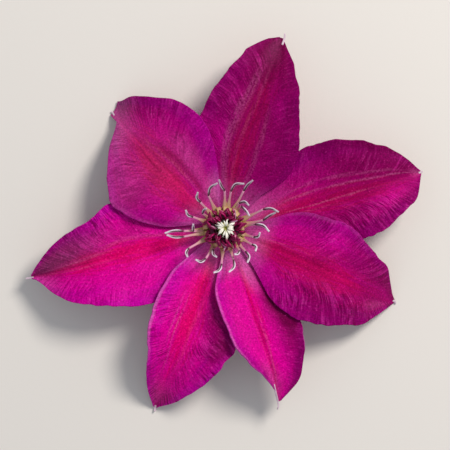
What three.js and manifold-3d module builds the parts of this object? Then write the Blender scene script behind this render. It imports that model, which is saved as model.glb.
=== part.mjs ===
// A single large-flowered clematis bloom, as picked, lying face up.
// Seven overlapping sepals spread from a receptacle on a short cut stalk. A ring of curled outer
// stamens, a boss of dark unopened anthers and a pale tuft of styles stand in the middle.
// Millimetres, +Z up. The flower's axis is worked on as the Z axis, and at the end everything is
// moved so that the origin is under the middle of the flower, on the surface that it lies on.

import * as THREE from "three";
import { mergeVertices } from "three/addons/utils/BufferGeometryUtils.js";
import Module from "manifold-3d";

const { clamp, degToRad, lerp, smoothstep } = THREE.MathUtils;

// Stalk and receptacle
const STALK_RADIUS = 1.25;
const STALK_BOTTOM = 0.6;
const RECEPTACLE_RADIUS = 3.2;
const RECEPTACLE_TOP = 16.4;
const FLARE_BOTTOM = 5.5;
const FLARE_TOP = 9.5;
const RECEPTACLE_SHOULDER = 15.6;
const STALK_SIDES = 20;

// Sepals
const BLADE_THICKNESS = 0.6;
const CLAW_GAP = 0.3;
const CLAW_RADIUS = RECEPTACLE_RADIUS + CLAW_GAP;
const CLAW_HEIGHT = 10.2;
const LEVEL_STEP = 1.0;
const TIP_HALF_WIDTH = 0.5;
const EDGE_STEP = 5;
const CLAW_HALF_WIDTH = 1.3;
const CROSS_POWER = 1.8;
const SEPAL_ROWS = 20;
const SEPAL_COLUMNS = 12;
const TIP_CROWDING = 1.15;
const RUFFLE_HEIGHT = 0.45;
const RUFFLE_LENGTH = 13;
const RUFFLE_REACH = [26, 40];
const LIFT_OPENS_AT = 24;
const LIFT_CHANGES = [22, 50];
const LIFT_CLOSES_BEFORE_TIP = 22;
const SHOULDER_REACH = [40, 56];

// The seven sepals, clockwise from the upper left as seen from above.
// azimuth is in degrees from +X, reach is how far the tip lies from the axis, and level says how
// high the claw sits in the stack. left and right are the distances of the two edges from the
// sepal's axis, one every EDGE_STEP from EDGE_STEP outwards, with left seen from the centre.
// crest is where the midrib stands highest, as distance and height. The lifts raise each edge
// over the midrib, on the inner and on the outer half. midrib gives how far the midrib bows to
// the left at a distance, and shoulder pushes the right edge outwards near the tip.
const SEPALS = [
  {
    name: "sepal_1", azimuth: 134.7, reach: 57.6, level: 2, crest: [34, 17.6], tipHeight: 0.5,
    left: [2.3, 8.4, 14.3, 18.0, 20.7, 22.0, 22.5, 19.5, 14.4, 8.1, 1.4],
    right: [2.3, 7.2, 11.9, 16.2, 19.2, 21.3, 22.7, 22.1, 20.0, 16.2, 10.4],
    leftLift: [-0.6, 0.6], rightLift: [0.6, 1.2], shoulder: 5,
    midrib: [[0, 0], [30, 0], [57.6, 0]], color: "#a01868",
  },
  {
    name: "sepal_2", azimuth: 72.9, reach: 73.3, level: 1, crest: [54, 18.0], tipHeight: 13.5,
    left: [2.0, 5.5, 9.5, 13.0, 16.0, 18.3, 19.9, 19.9, 19.2, 17.7, 15.9, 13.3, 10.8, 4.8],
    right: [2.0, 5.0, 8.4, 13.2, 16.5, 17.4, 17.3, 16.0, 14.5, 12.7, 11.1, 8.4, 5.9, 0.9],
    leftLift: [0.0, 2.0], rightLift: [1.4, 1.8], shoulder: 0,
    midrib: [[0, 0], [10, 0.6], [25, 2.7], [45, 1.5], [60, 0.5], [73.3, 0.6]], color: "#83044f",
  },
  {
    name: "sepal_3", azimuth: 15.6, reach: 73.6, level: 0, crest: [54, 16.6], tipHeight: 12.0,
    left: [1.8, 5.5, 10.0, 13.5, 16.5, 18.8, 20.0, 20.5, 20.5, 19.7, 17.7, 14.4, 11.7, 6.6],
    right: [1.8, 4.0, 6.0, 8.0, 10.0, 12.0, 14.0, 15.8, 17.1, 17.1, 16.1, 13.8, 11.3, 7.8],
    leftLift: [0.3, 1.8], rightLift: [0.0, -0.6], shoulder: 0,
    midrib: [[0, 0], [40, 0], [73.6, 0.5]], color: "#8c0a57",
  },
  {
    name: "sepal_4", azimuth: -22.2, reach: 66.3, level: 3, crest: [36, 19.4], tipHeight: 0.5,
    left: [2.2, 6.2, 10.2, 14.1, 16.5, 17.4, 18.0, 18.1, 17.0, 14.0, 11.5, 8.1, 2.2],
    right: [2.0, 5.2, 9.0, 13.2, 17.1, 19.2, 20.1, 19.8, 18.9, 17.4, 15.9, 12.6, 5.0],
    leftLift: [-2.6, 0.8], rightLift: [-1.2, -2.4], shoulder: 0,
    midrib: [[0, 0], [40, 0], [66.3, -1.2]], color: "#9c0460",
  },
  {
    name: "sepal_5", azimuth: -73.2, reach: 67.3, level: 2, crest: [46, 17.2], tipHeight: 9.0,
    left: [1.8, 5.0, 8.5, 11.0, 13.0, 14.8, 16.0, 16.6, 16.1, 15.0, 12.9, 8.7, 3.4],
    right: [1.8, 4.2, 7.2, 9.6, 10.1, 9.9, 9.4, 8.9, 7.5, 5.3, 2.1, -0.2, -0.2],
    leftLift: [-1.6, 0.4], rightLift: [3.4, 4.0], shoulder: 0,
    midrib: [[0, 0], [25, 0.6], [45, 1.5], [58, 1.6], [67.3, 0.3]], color: "#d0068a",
  },
  {
    name: "sepal_6", azimuth: -111.3, reach: 70.6, level: 1, crest: [40, 15.6], tipHeight: 0.5,
    left: [1.7, 4.5, 7.5, 10.5, 13.5, 16.2, 18.5, 19.8, 17.7, 16.1, 14.4, 10.5, 6.6, 1.0],
    right: [1.8, 4.8, 8.2, 11.7, 12.8, 13.5, 13.8, 13.4, 12.5, 10.2, 8.5, 7.1, 4.4, 0.8],
    leftLift: [0.6, 2.6], rightLift: [2.6, 3.4], shoulder: 0,
    midrib: [[0, 0], [40, 0.3], [70.6, 0]], color: "#c80480",
  },
  {
    name: "sepal_7", azimuth: -166.3, reach: 72.3, level: 0, crest: [46, 15.4], tipHeight: 7.5,
    left: [1.7, 5.0, 9.0, 12.5, 16.3, 19.6, 20.0, 19.1, 18.0, 16.2, 14.7, 12.6, 8.1, 1.8],
    right: [1.7, 4.5, 7.5, 10.0, 12.8, 15.5, 18.0, 18.0, 15.6, 13.7, 12.1, 9.9, 6.6, 1.6],
    leftLift: [0.4, 2.8], rightLift: [0.2, 2.0], shoulder: 0,
    midrib: [[0, 0], [40, 0.3], [60, 0.9], [72.3, 0]], color: "#b8067a",
  },
];

// Outer stamens: azimuth and radius of each anther's root, then of its tip.
const OUTER_STAMENS = [
  [89, 13.2, 97, 18.2],
  [118, 12.9, 98, 16.6],
  [81, 13.3, 67, 17.4],
  [64, 15.1, 60, 20.0],
  [133, 12.6, 128, 16.2],
  [147, 10.0, 133, 10.4],
  [161, 12.1, 155, 15.4],
  [183, 11.1, 172, 11.3],
  [184, 15.4, 182, 21.5],
  [190, 14.8, 191, 20.6],
  [207, 13.9, 217, 17.0],
  [239, 12.3, 227, 15.2],
  [241, 9.0, 255, 11.2],
  [266, 12.1, 256, 16.2],
  [288, 11.0, 275, 15.5],
  [303, 9.8, 291, 10.4],
  [313, 11.0, 304, 14.8],
  [330, 11.5, 324, 13.7],
  [343, 10.8, 354, 12.9],
  [8, 10.9, -4, 15.9],
  [27, 15.2, 18, 20.0],
  [13, 14.1, 19, 19.4],
  [54, 9.8, 31, 9.9],
  [68, 9.5, 45, 12.1],
];
const FILAMENT_RADIUS = 0.5;
const ANTHER_HALF_WIDTH = 0.95;
const ANTHER_HALF_THICKNESS = 0.55;
const FILAMENT_ROOT_RADIUS = 4.5;
const FILAMENT_ROOT_HEIGHT = 15.0;
const FILAMENT_BEND_RADIUS = 7.4;
const FILAMENT_BEND_HEIGHT = 16.0;
const ANTHER_ROOT_HEIGHT = 18.4;
const ANTHER_SLOPE = 0.16;
const ANTHER_CURL = 2.4;
const STAMEN_STEPS = 9;
const STAMEN_SIDES = 6;

// Collar that carries the outer stamens, round the receptacle
const COLLAR_INNER = RECEPTACLE_RADIUS + CLAW_GAP;
const COLLAR_OUTER = 5.2;
const COLLAR_BOTTOM = 14.3;
const COLLAR_TOP = 15.9;

// Inner anthers: rings of straps that stand on a second collar
const BOSS_INNER = 3.25;
const BOSS_OUTER = 5.3;
const BOSS_BOTTOM = COLLAR_TOP + CLAW_GAP;
const BOSS_TOP = 20.6;
// count of straps in a row, radii of its foot, belly and tip, and heights of foot and tip
const BOSS_ROWS = [
  { count: 15, foot: 4.9, belly: 7.0, tip: 6.3, footHeight: 17.9, tipHeight: 22.6 },
  { count: 13, foot: 4.6, belly: 5.7, tip: 5.2, footHeight: 19.2, tipHeight: 23.9 },
  { count: 10, foot: 4.1, belly: 4.5, tip: 4.15, footHeight: 19.6, tipHeight: 24.4 },
];
const STRAP_HALF_WIDTH = 0.9;
const STRAP_HALF_THICKNESS = 0.5;
const STRAP_STEPS = 5;
const STRAP_SIDES = 6;
const STRAP_WANDER = 9;

// Styles: a tuft of flat pale straps that spread from a small core
const STYLE_CORE_RADIUS = 2.3;
const STYLE_BOTTOM = RECEPTACLE_TOP + CLAW_GAP;
const STYLE_CORE_TOP = 22.4;
const STYLE_ROOT_DEPTH = 1.5;
const STYLE_TURN = 14;
const STYLE_ROWS = [
  { count: 9, foot: 1.5, tip: 3.0, tipHeight: 24.9 },
  { count: 5, foot: 0.8, tip: 1.5, tipHeight: 25.4 },
];
const STYLE_HALF_WIDTH = 0.55;
const STYLE_HALF_THICKNESS = 0.32;
const CORE_SIDES = 24;

const wasm = await Module();
wasm.setup();

// Seeded random numbers, alike on every run
function seededRandom(seed) {
  let state = seed;
  return () => {
    state = (state * 1664525 + 1013904223) % 4294967296;
    return state / 4294967296;
  };
}

// Smooth curve through [x, y] stations, with each slope taken from the two neighbours
function smoothAt(stations, x) {
  const last = stations.length - 1;
  let start = 0;
  while (start < last - 1 && x > stations[start + 1][0]) {
    start += 1;
  }
  const slopeAt = (index) => {
    const before = stations[Math.max(index - 1, 0)];
    const after = stations[Math.min(index + 1, last)];
    return (after[1] - before[1]) / (after[0] - before[0]);
  };
  const [x0, y0] = stations[start];
  const [x1, y1] = stations[start + 1];
  const span = x1 - x0;
  const u = clamp((x - x0) / span, 0, 1);
  const rise = u * u * (3 - 2 * u);
  const leave = u * (1 - u) * (1 - u) * span * slopeAt(start);
  const arrive = u * u * (u - 1) * span * slopeAt(start + 1);
  return lerp(y0, y1, rise) + leave + arrive;
}

// Edge distances, with the claw before them and the tip after them
function edgeStations(sepal, side) {
  const inner = sepal[side].map((distance, index) => [(index + 1) * EDGE_STEP, distance]);
  const midribAtTip = sepal.midrib[sepal.midrib.length - 1][1];
  const tipSide = side === "left" ? midribAtTip : -midribAtTip;
  return [[CLAW_RADIUS, CLAW_HALF_WIDTH], ...inner, [sepal.reach, tipSide + TIP_HALF_WIDTH]];
}

// Height of the midrib: up from the claw to the crest, then down to the tip
function midribHeight(sepal, distance) {
  const clawHeight = CLAW_HEIGHT + LEVEL_STEP * sepal.level;
  const [crestDistance, crestHeight] = sepal.crest;
  if (distance < crestDistance) {
    const risen = smoothstep(distance, CLAW_RADIUS, crestDistance);
    return lerp(clawHeight, crestHeight, risen);
  }
  const fallen = (distance - crestDistance) / (sepal.reach - crestDistance);
  return lerp(crestHeight, sepal.tipHeight, fallen * fallen);
}

// How far an edge is raised over the midrib at this distance
function edgeLift(lifts, distance, reach) {
  const [inner, outer] = lifts;
  const amount = lerp(inner, outer, smoothstep(distance, ...LIFT_CHANGES));
  const opening = smoothstep(distance, CLAW_RADIUS, LIFT_OPENS_AT);
  const closing = 1 - 0.8 * smoothstep(distance, reach - LIFT_CLOSES_BEFORE_TIP, reach);
  return amount * opening * closing;
}

// One point of a sepal's middle surface. along runs from claw to tip, across from -1 to 1.
function sepalPoint(sepal, along, across) {
  const isLeft = across > 0;
  const distance = lerp(CLAW_RADIUS, sepal.reach, along);
  const midrib = smoothAt(sepal.midrib, distance);
  const edge = smoothAt(isLeft ? sepal.leftEdge : sepal.rightEdge, distance);
  const halfWidth = Math.max(edge + (isLeft ? -midrib : midrib), TIP_HALF_WIDTH);
  const side = midrib + across * halfWidth;
  const spread = Math.abs(across);
  const lift = edgeLift(isLeft ? sepal.leftLift : sepal.rightLift, distance, sepal.reach);
  const wave = Math.sin((2 * Math.PI * distance) / RUFFLE_LENGTH + sepal.azimuth + 1.3 * Math.sign(across));
  const ruffled = smoothstep(distance, ...RUFFLE_REACH) * (1 - along ** 6);
  const ruffle = RUFFLE_HEIGHT * spread ** 3 * wave * ruffled;
  const height = midribHeight(sepal, distance) + lift * spread ** CROSS_POWER + ruffle;
  const shoulder = isLeft ? 0 : sepal.shoulder * across * across * smoothstep(distance, ...SHOULDER_REACH);
  const outward = distance + shoulder * (1 - along ** 12);
  const angle = degToRad(sepal.azimuth);
  return new THREE.Vector3(
    outward * Math.cos(angle) - side * Math.sin(angle),
    outward * Math.sin(angle) + side * Math.cos(angle),
    height,
  );
}

// Upward normal of a sepal's middle surface
function sepalNormal(sepal, along, across) {
  const small = 0.004;
  const from = clamp(along, small, 1 - small);
  const beside = clamp(across, small - 1, 1 - small);
  const outward = sepalPoint(sepal, from + small, beside).sub(sepalPoint(sepal, from - small, beside));
  const leftward = sepalPoint(sepal, from, beside + small).sub(sepalPoint(sepal, from, beside - small));
  return outward.cross(leftward).normalize();
}

// A sepal as a closed blade of even thickness, cut into the same triangles on both faces
function sepalGeometry(sepal) {
  sepal.leftEdge = edgeStations(sepal, "left");
  sepal.rightEdge = edgeStations(sepal, "right");
  const sheet = new THREE.PlaneGeometry(1, 1, SEPAL_ROWS, SEPAL_COLUMNS);
  const uv = sheet.getAttribute("uv");
  const upper = [];
  const lower = [];
  for (let index = 0; index < uv.count; index += 1) {
    const along = 1 - (1 - uv.getX(index)) ** TIP_CROWDING;
    const across = uv.getY(index) * 2 - 1;
    const point = sepalPoint(sepal, along, across);
    const half = sepalNormal(sepal, along, across).multiplyScalar(BLADE_THICKNESS / 2);
    upper.push(...point.clone().add(half).toArray());
    lower.push(...point.clone().sub(half).toArray());
  }
  const faces = Array.from(sheet.index.array);
  const triangles = [...faces];
  for (let index = 0; index < faces.length; index += 3) {
    triangles.push(faces[index] + uv.count, faces[index + 2] + uv.count, faces[index + 1] + uv.count);
  }
  const rim = sheetRim();
  rim.forEach((here, index) => {
    const next = rim[(index + 1) % rim.length];
    triangles.push(here, here + uv.count, next + uv.count, here, next + uv.count, next);
  });
  const geometry = new THREE.BufferGeometry();
  geometry.setAttribute("position", new THREE.Float32BufferAttribute([...upper, ...lower], 3));
  geometry.setIndex(triangles);
  return geometry;
}

// Vertex numbers round the border of the sheet, anticlockwise from above
function sheetRim() {
  const perLine = SEPAL_ROWS + 1;
  const rim = [];
  for (let row = 0; row < SEPAL_ROWS; row += 1) {
    rim.push(SEPAL_COLUMNS * perLine + row);
  }
  for (let column = SEPAL_COLUMNS; column > 0; column -= 1) {
    rim.push(column * perLine + SEPAL_ROWS);
  }
  for (let row = SEPAL_ROWS; row > 0; row -= 1) {
    rim.push(row);
  }
  for (let column = 0; column < SEPAL_COLUMNS; column += 1) {
    rim.push(column * perLine);
  }
  return rim;
}

// Point at an azimuth in degrees, a radius and a height
function polar(azimuth, radius, height) {
  const angle = degToRad(azimuth);
  return new THREE.Vector3(radius * Math.cos(angle), radius * Math.sin(angle), height);
}

// A closed strap along a curve: a capped cylinder bent onto it. sizeAt gives half the width and
// half the thickness, and flat is the direction that the strap's thickness lies nearest to.
function strapGeometry(points, sizeAt, flat, steps, sides) {
  const curve = new THREE.CatmullRomCurve3(points, false, "centripetal");
  const pipe = new THREE.CylinderGeometry(1, 1, 1, sides, steps);
  const position = pipe.getAttribute("position");
  for (let index = 0; index < position.count; index += 1) {
    const along = clamp(0.5 - position.getY(index), 0, 1);
    const [halfWidth, halfThickness] = sizeAt(along);
    const tangent = curve.getTangentAt(along);
    const wide = tangent.clone().cross(flat).normalize();
    const thick = tangent.clone().cross(wide);
    const place = curve.getPointAt(along);
    place.addScaledVector(wide, position.getX(index) * halfWidth);
    place.addScaledVector(thick, position.getZ(index) * halfThickness);
    position.setXYZ(index, place.x, place.y, place.z);
  }
  return pipe;
}

// A closed solid as the join library keeps it
function toSolid(geometry) {
  const bare = geometry.clone();
  bare.deleteAttribute("normal");
  bare.deleteAttribute("uv");
  const welded = mergeVertices(bare, 1e-4);
  const mesh = new wasm.Mesh({
    numProp: 3,
    vertProperties: new Float32Array(welded.getAttribute("position").array),
    triVerts: new Uint32Array(welded.index.array),
  });
  return new wasm.Manifold(mesh);
}

// Many closed geometries joined into one body
function joined(geometries) {
  const whole = geometries.map(toSolid).reduce((sum, solid) => sum.add(solid));
  const mesh = whole.getMesh();
  const geometry = new THREE.BufferGeometry();
  geometry.setAttribute("position", new THREE.Float32BufferAttribute(mesh.vertProperties, 3));
  geometry.setIndex(Array.from(mesh.triVerts));
  return geometry;
}

// A turned solid from [radius, height] points
function turned(profile, sides) {
  const points = profile.map(([radius, height]) => new THREE.Vector2(radius, height));
  const geometry = new THREE.LatheGeometry(points, sides);
  geometry.rotateX(Math.PI / 2);
  return geometry;
}

// A flat ring of rectangular section
function collar(inner, outer, bottom, top) {
  const profile = [[inner, bottom], [outer, bottom], [outer, top], [inner, top], [inner, bottom]];
  return turned(profile, CORE_SIDES);
}

function stalkGeometry() {
  const flare = [
    [0, STALK_BOTTOM],
    [STALK_RADIUS, STALK_BOTTOM],
    [STALK_RADIUS, FLARE_BOTTOM],
    [STALK_RADIUS * 1.15, lerp(FLARE_BOTTOM, FLARE_TOP, 0.4)],
    [RECEPTACLE_RADIUS * 0.75, lerp(FLARE_BOTTOM, FLARE_TOP, 0.78)],
    [RECEPTACLE_RADIUS, FLARE_TOP],
    [RECEPTACLE_RADIUS, RECEPTACLE_SHOULDER],
    [RECEPTACLE_RADIUS * 0.8, RECEPTACLE_TOP],
    [0, RECEPTACLE_TOP],
  ];
  return turned(flare, STALK_SIDES);
}

// An outer stamen: a filament that leans out over the sepals and a flat anther curled up
function outerStamen([rootAzimuth, rootRadius, tipAzimuth, tipRadius]) {
  const rootHeight = ANTHER_ROOT_HEIGHT + ANTHER_SLOPE * (rootRadius - 10);
  const middleAzimuth = lerp(rootAzimuth, tipAzimuth, 0.4);
  const middleRadius = lerp(rootRadius, tipRadius, 0.6);
  const points = [
    polar(rootAzimuth, FILAMENT_ROOT_RADIUS, FILAMENT_ROOT_HEIGHT),
    polar(rootAzimuth, FILAMENT_BEND_RADIUS, FILAMENT_BEND_HEIGHT),
    polar(rootAzimuth, rootRadius, rootHeight),
    polar(middleAzimuth, middleRadius, rootHeight + 0.45 * ANTHER_CURL),
    polar(tipAzimuth, tipRadius, rootHeight + ANTHER_CURL),
  ];
  const filament = points[2].distanceTo(points[0]);
  const anther = points[3].distanceTo(points[2]) + points[4].distanceTo(points[3]);
  const share = filament / (filament + anther);
  const sizeAt = (along) => {
    const swell = smoothstep(along, share - 0.06, share + 0.1);
    const narrow = 1 - 0.55 * smoothstep(along, 0.85, 1);
    return [
      lerp(FILAMENT_RADIUS, ANTHER_HALF_WIDTH, swell) * narrow,
      lerp(FILAMENT_RADIUS, ANTHER_HALF_THICKNESS, swell) * narrow,
    ];
  };
  return strapGeometry(points, sizeAt, new THREE.Vector3(0, 0, 1), STAMEN_STEPS, STAMEN_SIDES);
}

// An unopened anther of the boss: a short thick strap that bellies out and leans back in
function bossStrap(row, azimuth) {
  const points = [
    polar(azimuth, row.foot, row.footHeight),
    polar(azimuth, row.belly, lerp(row.footHeight, row.tipHeight, 0.45)),
    polar(azimuth, row.tip, row.tipHeight),
  ];
  const sizeAt = (along) => {
    const narrow = 1 - 0.5 * smoothstep(along, 0.75, 1);
    return [STRAP_HALF_WIDTH * narrow, STRAP_HALF_THICKNESS * narrow];
  };
  return strapGeometry(points, sizeAt, polar(azimuth, 1, 0.2), STRAP_STEPS, STRAP_SIDES);
}

function bossGeometry() {
  const random = seededRandom(11);
  const straps = [];
  for (const row of BOSS_ROWS) {
    for (let index = 0; index < row.count; index += 1) {
      const wander = (random() - 0.5) * STRAP_WANDER;
      straps.push(bossStrap(row, ((index + 0.5) * 360) / row.count + wander));
    }
  }
  return joined([collar(BOSS_INNER, BOSS_OUTER, BOSS_BOTTOM, BOSS_TOP), ...straps]);
}

// A style: a narrow flat strap that leans out from the core and ends in a rounded tip
function styleStrap(row, azimuth) {
  const points = [
    polar(azimuth, row.foot, STYLE_CORE_TOP - STYLE_ROOT_DEPTH),
    polar(azimuth, lerp(row.foot, row.tip, 0.35), lerp(STYLE_CORE_TOP, row.tipHeight, 0.5)),
    polar(azimuth, row.tip, row.tipHeight),
  ];
  const sizeAt = (along) => {
    const swell = 1 + 0.35 * smoothstep(along, 0.5, 0.9);
    return [STYLE_HALF_WIDTH * swell, STYLE_HALF_THICKNESS];
  };
  return strapGeometry(points, sizeAt, polar(azimuth, 1, 0.6), STRAP_STEPS, STRAP_SIDES);
}

function styleGeometry() {
  const profile = [
    [0, STYLE_BOTTOM],
    [STYLE_CORE_RADIUS, STYLE_BOTTOM],
    [STYLE_CORE_RADIUS, STYLE_CORE_TOP],
    [0, STYLE_CORE_TOP],
  ];
  const core = turned(profile, CORE_SIDES);
  const straps = STYLE_ROWS.flatMap((row) =>
    Array.from({ length: row.count }, (_, index) => styleStrap(row, (index * 360) / row.count + STYLE_TURN)),
  );
  return joined([core, ...straps]);
}

function piece(name, geometry, color, roughness) {
  const material = new THREE.MeshStandardMaterial({ color, roughness, metalness: 0 });
  const mesh = new THREE.Mesh(geometry, material);
  mesh.name = name;
  return mesh;
}

const flower = new THREE.Group();
for (const sepal of SEPALS) {
  flower.add(piece(sepal.name, sepalGeometry(sepal), sepal.color, 0.55));
}
const stamenCollar = collar(COLLAR_INNER, COLLAR_OUTER, COLLAR_BOTTOM, COLLAR_TOP);
const stamens = [stamenCollar, ...OUTER_STAMENS.map(outerStamen)];
flower.add(piece("stalk", stalkGeometry(), "#7f8a4a", 0.6));
flower.add(piece("outer_stamens", joined(stamens), "#9d4278", 0.5));
flower.add(piece("inner_stamens", bossGeometry(), "#5a0f30", 0.35));
flower.add(piece("styles", styleGeometry(), "#e6dccb", 0.6));

// Origin under the middle of the flower's box, on the surface
const box = new THREE.Box3().setFromObject(flower);
const middle = box.getCenter(new THREE.Vector3());
flower.position.set(-middle.x, -middle.y, -box.min.z);
flower.updateMatrixWorld(true);

export default flower;
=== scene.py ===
"""A large-flowered clematis bloom, lying face up on a pale floor.

The seven sepals, the stamens, the anther boss, the styles and the stalk are modelled over their
solids, finer than they are and with the veins, hairs and colours of the real flower. Lengths in
the tables are millimetres, and everything in Blender is in metres.
"""

import math
import random

import bmesh
import bpy
from bpy.props import FloatProperty, FloatVectorProperty, IntProperty, PointerProperty
from bpy.types import Operator, Panel, PropertyGroup
from mathutils import Matrix, Vector, noise


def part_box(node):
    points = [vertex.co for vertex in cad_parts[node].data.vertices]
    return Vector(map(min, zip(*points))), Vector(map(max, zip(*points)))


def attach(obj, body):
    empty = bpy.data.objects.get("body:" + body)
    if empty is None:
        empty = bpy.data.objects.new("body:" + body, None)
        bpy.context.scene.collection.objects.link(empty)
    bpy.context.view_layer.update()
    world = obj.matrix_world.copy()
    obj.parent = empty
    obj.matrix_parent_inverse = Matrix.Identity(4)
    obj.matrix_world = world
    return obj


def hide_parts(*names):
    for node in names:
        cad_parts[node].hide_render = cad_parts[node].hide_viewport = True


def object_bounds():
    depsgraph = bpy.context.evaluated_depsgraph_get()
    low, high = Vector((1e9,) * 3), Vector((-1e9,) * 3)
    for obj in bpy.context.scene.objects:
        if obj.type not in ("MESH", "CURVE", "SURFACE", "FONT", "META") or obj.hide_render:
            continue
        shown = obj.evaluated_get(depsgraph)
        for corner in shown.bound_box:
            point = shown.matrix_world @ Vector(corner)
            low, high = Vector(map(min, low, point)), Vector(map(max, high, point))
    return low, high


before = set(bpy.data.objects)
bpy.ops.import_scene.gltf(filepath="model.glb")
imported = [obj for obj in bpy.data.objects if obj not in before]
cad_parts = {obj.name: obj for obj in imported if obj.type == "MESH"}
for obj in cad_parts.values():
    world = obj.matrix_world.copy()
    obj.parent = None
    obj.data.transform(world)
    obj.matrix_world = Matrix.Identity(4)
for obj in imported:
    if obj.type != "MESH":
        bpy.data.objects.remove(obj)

bl_info = {
    "name": "Clematis Flower",
    "version": (1, 0, 0),
    "blender": (4, 5, 0),
    "location": "3D View > Sidebar > Clematis",
    "description": "Models a clematis bloom over its solids and sets the stage for it",
    "category": "Add Mesh",
}

MM = 0.001
CAD_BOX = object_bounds()
STALK_LOW, STALK_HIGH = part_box("stalk")
STALK_BOTTOM = 0.6
FLOWER_AXIS = Vector((
    (STALK_LOW.x + STALK_HIGH.x) / 2,
    (STALK_LOW.y + STALK_HIGH.y) / 2,
    STALK_LOW.z - STALK_BOTTOM * MM,
))

# Claws and outlines. They follow the solids, and here the shoulder closes again before the tip.
CLAW_RADIUS = 3.5
CLAW_HEIGHT = 10.2
CLAW_HALF_WIDTH = 1.3
LEVEL_STEP = 1.0
TIP_HALF_WIDTH = 0.5
EDGE_STEP = 5
CROSS_POWER = 1.8
LIFT_OPENS_AT = 24
LIFT_CHANGES = (22, 50)
LIFT_CLOSES_BEFORE_TIP = 22
LIFT_CLOSING = 0.8
SHOULDER_REACH = (40, 56)
SHOULDER_CLOSING = 0.62
SHOULDER_CLOSES_BEFORE_TIP = 6

# Fine form of the sepals. A reach is where something begins and where it is there in full, as a
# distance from the axis. A wave has its length and width, its height and a number that sets it
# apart. A tip power says how late a form fades out before the tip. The banks stand beside the
# groove, and banks, ribs and furrows are shares of its depth. Streaks run as they would on a blade
# whose half width is RUN_WIDTH everywhere.
RUFFLE_LENGTH = 13
RUFFLE_REACH = (26, 40)
RUFFLE_TIP_POWER = 6
RUFFLE_TURN = 1.3
OUTLINE_WAVES = ((4.6, 1, 1.5, 0), (2.1, 1, 0.8, 7))
OUTLINE_REACH = (20, 40)
OUTLINE_TIP_POWER = 12
OUTLINE_SIDES_APART = 50
GROOVE_HALF_WIDTH = 0.7
GROOVE_REACH = (5, 14)
GROOVE_TIP_POWER = 8
BANK_SHARE = 0.4
BANK_PLACE = 1.5
BANK_HALF_WIDTH = 0.8
FURROW_SHARE = 1.2
RIB_TO_FURROW = 0.7
WRINKLES = ((2, 10, 1.0, 0),)
WRINKLE_SIDES_APART = 1 / 3
WRINKLE_SPREAD = (0.1, 0.6)
WRINKLE_REACH = (14, 34)
WAVES = ((13, 9, 0.6, 0),)
PLEATS = ((30, 0.3125, 0.35, 5),)
WAVE_REACH = (10, 26)
WAVE_TIP_POWER = 10
VEIN_LEAD = 12.0
VEIN_BEND = 5.0
VEIN_SLANT = 0.3
VEIN_WANDER = ((8, 8, 1.6, 20), (2.6, 4, 0.35, 30))
VEIN_SIDES_APART = 9
LINE_WANDER = ((7, 1, 0.035, 0),)
LINE_FADE = (1.3, 0.1)
LINE_RISE = 0.15
LINE_FALL = 0.2
PATCH_FADE = (1.25, 0.1)
BACK_RIB_SPACING = 0.24
BACK_HAIR_REACH = (0.08, 0.8)
BACK_HAIR_SCATTER = 0.03
BACK_HAIR_LEAN = 0.6
BACK_HAIR_ROOT = 0.4
BACK_HAIR_CLEARANCE = 0.5
BACK_HAIR_LENGTH = (0.4, 0.8)
BACK_HAIR_RADIUS = 0.035
ROW_CROWDING = 1.15
RUN_WIDTH = 20
# How much of a rolled margin's painted highlight its rim takes
RIM_HIGHLIGHT = 0.7
POINT_HALF_WIDTH = (0.4, 0.25)
POINT_HALF_THICKNESS = (0.34, 0.22)
POINT_RAISED = 0.1

# Places of a sepal's materials in its list
UPPER_INDEX, BACK_INDEX, RIM_INDEX, POINT_INDEX, DOWN_INDEX = range(5)

# Where the colours of a sepal begin and are full, along the blade or across it, as shares of both
BAR_BEGINS = (0.03, 0.16)
BAR_FADE = (0.2, -0.35)
CLAW_FADE = (0.26, 0.06)
# Where the painted highlight along a rolled margin shows
ROLLED_HIGHLIGHT_SPREAD = (0.9, 0.96)
ROLLED_HIGHLIGHT_BEGINS = (0.1, 0.25)
ROLLED_HIGHLIGHT_FADE = (0.85, 0.55)
# The side veins show with painted shade between their folds and a painted highlight on top
VEINED_SPREAD = (0.0, 0.45)
VEINED_BEGINS = (0.12, 0.45)
VEINED_STRONGER = (0.5, 0.85)
VEINED_STRENGTH = (1.0, 1.35)
VEINED_CLOUDS = ((8, 6, 1.0, 40),)
VEINED_CLOUD_REACH = (-0.35, 0.35)
VEINED_CLOUD_STRENGTH = (0.45, 1.25)
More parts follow.
